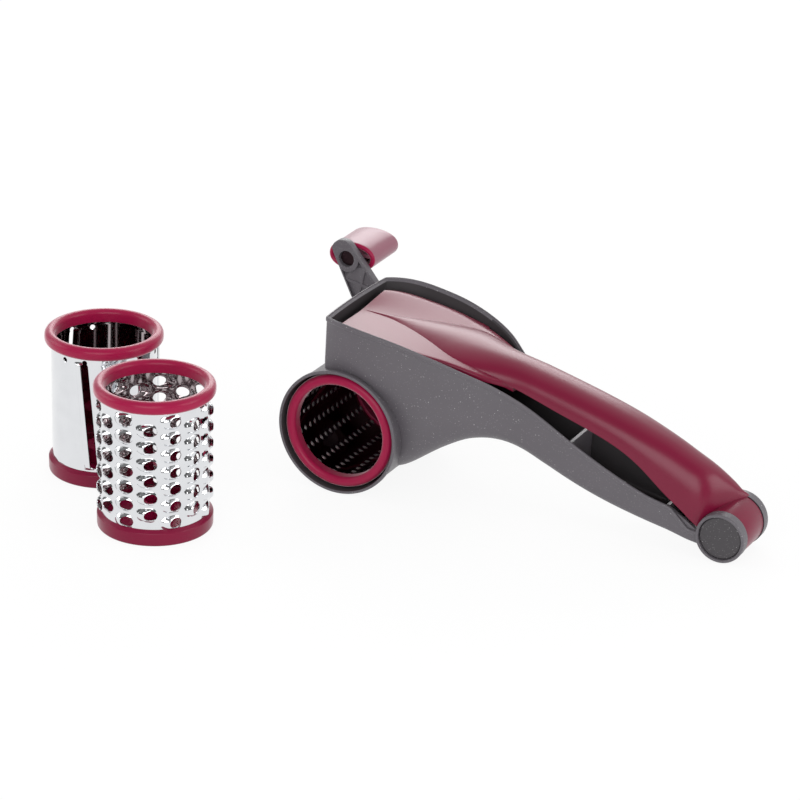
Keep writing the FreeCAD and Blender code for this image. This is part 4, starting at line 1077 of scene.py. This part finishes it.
def wrapping_tree():
    """Sets tiles in staggered columns on a flat sheet and rolls the sheet into a sleeve."""
    tree = bpy.data.node_groups.new("rolled_sleeve", "GeometryNodeTree")
    graph = Graph(tree)
    tree.interface.new_socket("Sleeve", in_out="OUTPUT", socket_type="NodeSocketGeometry")
    names = {}
    for kind, inputs in (("Object", ("Toothed tile", "Half tile", "Edge tile")),
                         ("Int", ("Columns", "Teeth", "Stagger")),
                         ("Float", ("Tile width", "Tile height", "Edge height", "Lowest edge",
                                    "Start angle")),
                         ("Material", ("Steel",))):
        for name in inputs:
            names[name] = tree.interface.new_socket(name, in_out="INPUT",
                                                    socket_type="NodeSocket" + kind).identifier
    group = tree.nodes.new("NodeGroupInput")
    given = {s.name: Term(graph, s) for s in group.outputs if s.name}
    columns, rows = given["Columns"], given["Teeth"]
    width, height = given["Tile width"], given["Tile height"]
    index = graph.node("GeometryNodeInputIndex")

    def laid(count, column, place, keep, tile_name):
        """Copies of a tile, each at the place along its column."""
        points = graph.node("GeometryNodePoints", None, {"Count": count})
        spot = graph.node("ShaderNodeCombineXYZ", None, {"X": column * width, "Z": place})
        points = graph.node("GeometryNodeSetPosition", None, {"Geometry": points, "Position": spot})
        shape = graph.node("GeometryNodeObjectInfo", None, {"Object": given[tile_name]}, "Geometry")
        return graph.node("GeometryNodeInstanceOnPoints", None, {"Points": points, "Selection": keep,
                                                                 "Instance": shape})

    def split(in_column):
        """The column and the row of a point, and whether the column is one that stands lower."""
        column = graph.maths("FLOOR", (index + 0.01) / in_column)
        return column, index - column * in_column, (column % 2.0) * given["Stagger"]

    first = given["Lowest edge"] + given["Edge height"]
    column, row, odd = split(rows)
    teeth = laid(columns * rows, column, first + (row + 0.5 + 0.5 * odd) * height,
                 (row + odd) < (rows - 0.5), "Toothed tile")
    column, row, odd = split(2.0)
    halves = laid(columns * 2.0, column, first + (0.25 + row * (rows - 0.5)) * height, odd > 0.5, "Half tile")
    edges = laid(columns * 2.0, column, given["Lowest edge"] + 0.5 * given["Edge height"]
                 + row * (rows * height + given["Edge height"]), True, "Edge tile")
    sheet = graph.node("GeometryNodeJoinGeometry", None, {"Geometry": [teeth, halves, edges]})
    sheet = graph.node("GeometryNodeRealizeInstances", None, {"Geometry": sheet})
    place = graph.node("GeometryNodeInputPosition")
    x, y, z = (graph.part(place, k) for k in range(3))
    turn = x * (2 * math.pi) / (columns * width) + given["Start angle"]
    radius = y + columns * width / (2 * math.pi)
    spot = graph.node("ShaderNodeCombineXYZ", None, {
        "X": radius * graph.maths("SINE", turn), "Y": -1.0 * radius * graph.maths("COSINE", turn), "Z": z})
    sheet = graph.node("GeometryNodeSetPosition", None, {"Geometry": sheet, "Position": spot})
    sheet = graph.node("GeometryNodeMergeByDistance", None, {"Geometry": sheet, "Distance": 0.00003})
    sheet = graph.node("GeometryNodeSetMaterial", None, {"Geometry": sheet, "Material": given["Steel"]})
    graph.end("NodeGroupOutput", sheet)
    return tree, names


ROLLED, ROLLED_INPUTS = wrapping_tree()


def sleeve(name, toothed, columns, teeth, stagger, height, start, across, up):
    """A perforated sleeve round the z axis, its columns of tiles numbered from the start angle."""
    width = 2 * math.pi * SLEEVE_R / columns
    bottom, top = SLEEVE_SUNK, DRUM_LENGTH - SLEEVE_SUNK
    edge = (top - bottom - teeth * height) / 2
    tiles = [sheet_object(name + "_toothed", toothed(width, height, across, up)),
             sheet_object(name + "_half", plain_tile(width, height / 2, across, up // 2)),
             sheet_object(name + "_edge", plain_tile(width, edge, across, 3))]
    made = thing(name, bpy.data.meshes.new(name))
    modifier = made.modifiers.new("roll", "NODES")
    modifier.node_group = ROLLED
    values = {"Toothed tile": tiles[0], "Half tile": tiles[1], "Edge tile": tiles[2], "Columns": columns,
              "Teeth": teeth, "Stagger": stagger, "Tile width": width / 1000, "Tile height": height / 1000,
              "Edge height": edge / 1000, "Lowest edge": bottom / 1000,
              "Start angle": math.radians(start), "Steel": STEEL}
    for key, value in values.items():
        modifier[ROLLED_INPUTS[key]] = value
    settled(made)
    for old in tiles:
        bpy.data.objects.remove(old)
    face_outwards(made)
    made.data.materials.clear()
    made.data.materials.append(STEEL)
    made.data.materials.append(SHADE_PAINTED_INNER_STEEL)
    number_faces(made, 0)
    # the sleeve's inner side takes the darker, reddish steel of painted shade and painted reflection
    wall = made.modifiers.new("wall", "SOLIDIFY")
    wall.material_offset = 1
    wall.thickness = SLEEVE_WALL / 1000
    wall.offset = -1
    return settled(made)


def face_outwards(made):
    """Turns every face of a sleeve away from the z axis."""
    tidy = bmesh.new()
    tidy.from_mesh(made.data)
    bmesh.ops.recalc_face_normals(tidy, faces=tidy.faces)
    outward = sum(face.normal.xy.dot(face.calc_center_median().xy) for face in tidy.faces)
    if outward < 0:
        bmesh.ops.reverse_faces(tidy, faces=tidy.faces)
    tidy.to_mesh(made.data)
    tidy.free()


def stood(place):
    """Sets a drum on the table at a place."""
    return lambda points: points + np.array([*place, 0])


def fitted(points):
    """Turns a standing drum into the barrel, its front ring towards the mouth."""
    return np.stack([points[:, 0], DRUM_BACK_Y - points[:, 2], points[:, 1] + AXIS_Z], axis=1)


def drum(kind, steel, place, shade_painted_inner_steel, disc_red):
    """Brings a drum's sleeve and rings to their place and hands them to its body."""
    body = kind + "_drum"
    set_points(steel, place(points_of(steel)))
    # the sleeve's inner side takes a darker steel of painted shade; the fine drum's pressed-in lips take a
    # pale steel of painted glints
    finished(steel, body, [STEEL, shade_painted_inner_steel, GLINT_PAINTED_LIP_STEEL], body + "_sleeve", 50)
    points, faces = front_ring()
    ring = form(kind + "_front_ring", (place(points), faces))
    finished(ring, body, [RING_RED], body + "_front_ring")
    ring, disc, hub, socket = [(place(points), faces) for points, faces in base_ring()]
    hub = cut(form("hub", hub), form("socket", socket))
    disc = form("disc", disc)
    # the disc and the hub take the second finish; for the drum in the barrel it is a near-black burgundy of
    # painted shade
    number_faces(hub, 1)
    number_faces(disc, 1)
    base = merged(kind + "_base_ring", ring, disc, hub)
    finished(base, body, [BASE_RED, disc_red], body + "_base_ring")


def drums():
    """The two spare drums on the table and the fine drum in the barrel."""
    coarse = sleeve("coarse_sleeve", coarse_tile, columns=14, teeth=7, stagger=1, height=7.8,
                    start=-106.9, across=12, up=8)
    fine = sleeve("fine_sleeve", fine_tile, columns=18, teeth=13, stagger=0, height=4.27,
                  start=7.0, across=8, up=4)
    slicer = sleeve("slicer_sleeve", slice_tile, columns=BLADES, teeth=1, stagger=0, height=56.0,
                    start=15.0, across=56, up=56)
    pin_holes(slicer)
    # the pressed-in lips inside the fine sleeve take the pale steel of painted glints
    pressed_in = (SLEEVE_R - SLEEVE_WALL - 0.1) / 1000
    for face in fine.data.polygons:
        if face.material_index and math.hypot(face.center[0], face.center[1]) < pressed_in:
            face.material_index = 2
    drum("coarse", coarse, stood(COARSE_PLACE), SHADE_PAINTED_INNER_STEEL, DISC_RED)
    # the fine drum in the barrel gets a dark steel and a near-black burgundy of painted shade
    drum("fine", fine, fitted, SHADED_STEEL, SHADE_PAINTED_DISC_RED)
    drum("slicer", slicer, stood(SLICER_PLACE), SHADE_PAINTED_INNER_STEEL, DISC_RED)


# ---- small pieces
WEDGE = steps((0, 0), (30, -1.2), (46, -1.2), (58, 0), (68, 0.95), (71.5, 0.2))
ARM_WAY = np.array([-0.5505, 0.8348])       # from the crank's axis towards the knob
POCKET_DEPTH = (1.9, 3.0)   # the floor of the frame node's pocket lies between these
POCKET_ALONG, POCKET_HALF_W = (12, 57), 9
ARM_EDGE = -4.3             # what lies to the left of here is the arm's left edge
FLOOR_RAISED = 1.4


def widened(arm):
    """Gives the crank arm its wedge shape: its left edge moves out towards the hub and in at the tip.
    The floor of its ribbed pocket comes nearer to the front."""
    across = np.array([ARM_WAY[1], -ARM_WAY[0]])
    points = points_of(arm) + ORIGIN
    flat = points[:, [0, 2]] - [0, AXIS_Z]
    along, aside = flat @ ARM_WAY, flat @ across
    shift = np.array([WEDGE(a) for a in along]) * (aside < ARM_EDGE)
    points[:, [0, 2]] += np.outer(shift, across)
    deep = points[:, 1] - ARM_FRONT_Y
    bottom = ((deep > POCKET_DEPTH[0]) & (deep < POCKET_DEPTH[1]) & (abs(aside) < POCKET_HALF_W)
              & (along > POCKET_ALONG[0]) & (along < POCKET_ALONG[1]))
    points[bottom, 1] -= FLOOR_RAISED
    set_points(arm, points)


def crank_arm():
    """The arm with a round step in its eye, in front of the knob's spindle."""
    eye = plug(EYE_STEP_R, ARM_FRONT_Y - 1, ARM_FRONT_Y + EYE_STEP_DEPTH, EYE_X, EYE_Z, 48)
    made = settled(softened("crank_arm", 0.3, form("eye", eye)))
    widened(made)
    finished(made, "crank", [GREY], "crank_arm")


def pivot_cover(side, name):
    """A thin cap in the recess of an ear, in the darker grey of painted shade."""
    dx, dz = FAR_EAR_SHIFT if side > 0 else NEAR_EAR_SHIFT
    radius = CAP_ROOM_R - CAP_GAP + (FAR_EAR_R - KNUCKLE_R if side > 0 else 0)
    profile = rounded([(0.02, 0), (radius, 0), (radius, 0.45), (radius - 0.5, 0.8), (0.02, 0.8)],
                      [0, 0.1, 0.2, 0.3, 0], 4)
    points, faces = along_y(turned(profile, 96), PIVOT_X + dx, 0, PIVOT_Z + dz)
    points[:, 1] = MID_Y + side * (EAR_OUTER - CAP_SINK + points[:, 1])
    cap = form("pivot_cover_" + name, (points, faces))
    finished(cap, "housing", [SHADE_PAINTED_CAP_GREY], "pivot_cap_" + name)


def small_pieces():
    crank_arm()
    finished(softened("drive_spindle", 0.25), "crank", [GREY], "drive_spindle")
    finished(softened("presser_block", 0.4), "lever", [RED], "presser_block")
    for name, skin in (("pivot_pin", PIN_STEEL), ("crank_screw", PIN_STEEL), ("knob_spindle", DARK_STEEL)):
        for holder in nodes[name].material_slots:
            holder.material = skin
    pivot_cover(-1, "near")
    pivot_cover(1, "far")


# ---- camera, light and floor
LENS, SENSOR_W = 151.9, 36.0
CAMERA_PLACE = (639.5, -1213.0, 625.2)
CAMERA_TURN, CAMERA_TILT, CAMERA_ROLL = np.radians([26.63, 22.91, 1.55])
LAMPS = (("back_softbox", (-0.50, 1.15, 0.66), (0.0, 0, 0.04), (0.95, 0.55), 7.5),
         ("right_softbox", (1.25, 0.15, 0.45), (0.0, 0, 0.05), (0.9, 0.8), 7.0),
         ("left_softbox", (-1.25, -0.35, 0.45), (0.0, 0, 0.05), (0.9, 0.8), 5.0),
         ("front_softbox", (0.35, -1.3, 0.55), (0, 0, 0.03), (1.2, 0.8), 10.0))
FLOOR_HALF = 3000
WHITE = (1, 1, 1)


def aimed(made, x_axis, y_axis, back, place):
    """Turns a camera or a lamp to three axes, the last one pointing away from what it faces."""
    made.matrix_world = Matrix([[x_axis[i], y_axis[i], back[i], place[i]] for i in range(3)] + [[0, 0, 0, 1]])


def camera():
    data = bpy.data.cameras.new("camera")
    data.lens, data.sensor_width = LENS, SENSOR_W
    data.clip_start, data.clip_end = 0.05, 20.0
    turn, tilt, roll = CAMERA_TURN, CAMERA_TILT, CAMERA_ROLL
    back = np.array([math.sin(turn) * math.cos(tilt), -math.cos(turn) * math.cos(tilt), math.sin(tilt)])
    right = np.array([math.cos(turn), math.sin(turn), 0])
    up = np.cross(back, right)
    made = thing("camera", data)
    aimed(made, right * math.cos(roll) + up * math.sin(roll), -right * math.sin(roll) + up * math.cos(roll),
          back, (np.array(CAMERA_PLACE) - ORIGIN) / 1000)
    bpy.context.scene.camera = made


def lamp(name, place, target, size, power):
    """A soft rectangular lamp; places and sizes in metres."""
    data = bpy.data.lights.new(name, "AREA")
    data.shape = "RECTANGLE"
    data.size, data.size_y = size
    data.energy = power
    away = np.array(place, float) - np.array(target, float)
    away /= np.linalg.norm(away)
    side = np.cross((0, 0, 1), away)
    side /= np.linalg.norm(side)
    aimed(thing(name, data), side, np.cross(away, side), away, place)


def room_light():
    """White for the camera; polished faces mirror a room that is bright above and behind."""
    world = bpy.data.worlds.new("studio")
    graph = emptied(world)
    way = graph.node("ShaderNodeTexCoord", output="Generated")
    depth, height = graph.part(way, 1), graph.part(way, 2)
    room = graph.rise(height, 0.25, 0.55) * graph.rise(depth, -0.35, 0.45, 0.12)
    far = graph.rise(depth, 0.50, 0.80)
    mirrored = 0.12 + 0.88 * (room + far - room * far)
    strength = graph.between(graph.ray("Glossy"), 0.75, mirrored)
    strength = graph.between(graph.ray("Camera") + graph.ray("Transmission"), strength, 1.0)
    light = graph.node("ShaderNodeBackground", None, {"Color": WHITE, "Strength": strength})
    graph.end("ShaderNodeOutputWorld", light)
    bpy.context.scene.world = world


def floor():
    """A pale floor that keeps the object's shadow; polished faces mirror it darker towards the front."""
    half = FLOOR_HALF
    made = sheet_object("floor", ([(-half, -half, 0), (half, -half, 0), (half, half, 0), (-half, half, 0)],
                                  [(0, 1, 2, 3)]))
    paper = bpy.data.materials.new("floor")
    graph = emptied(paper)
    matt = graph.node("ShaderNodeBsdfDiffuse", None, {"Color": (0.86, 0.86, 0.86)})
    seen = graph.ray("Camera") + graph.ray("Transmission")
    glossy = graph.ray("Glossy")
    spot = graph.node("ShaderNodeTexCoord", output="Object")
    away = graph.node("ShaderNodeVectorMath", {"operation": "LENGTH"}, {0: spot}, "Value")
    edge = graph.rise(away, 0.4, 0.9, 0.0, 0.85)
    front = graph.rise(graph.part(spot, 1), 0.15, 0.50, 1.0, 0.0)
    white = graph.node("ShaderNodeEmission", None, {"Color": WHITE, "Strength": 1.0 - edge * front * glossy})
    share = seen * 0.90 + glossy * 0.97
    mixed = graph.node("ShaderNodeMixShader", None, {0: share, 1: matt, 2: white})
    graph.end("ShaderNodeOutputMaterial", mixed)
    made.data.materials.append(paper)


def studio():
    bpy.context.scene.view_settings.view_transform = "Standard"
    room_light()
    for choices in LAMPS:
        lamp(*choices)
    floor()


camera()
housing()
lever()
knob()
drums()
small_pieces()
studio()
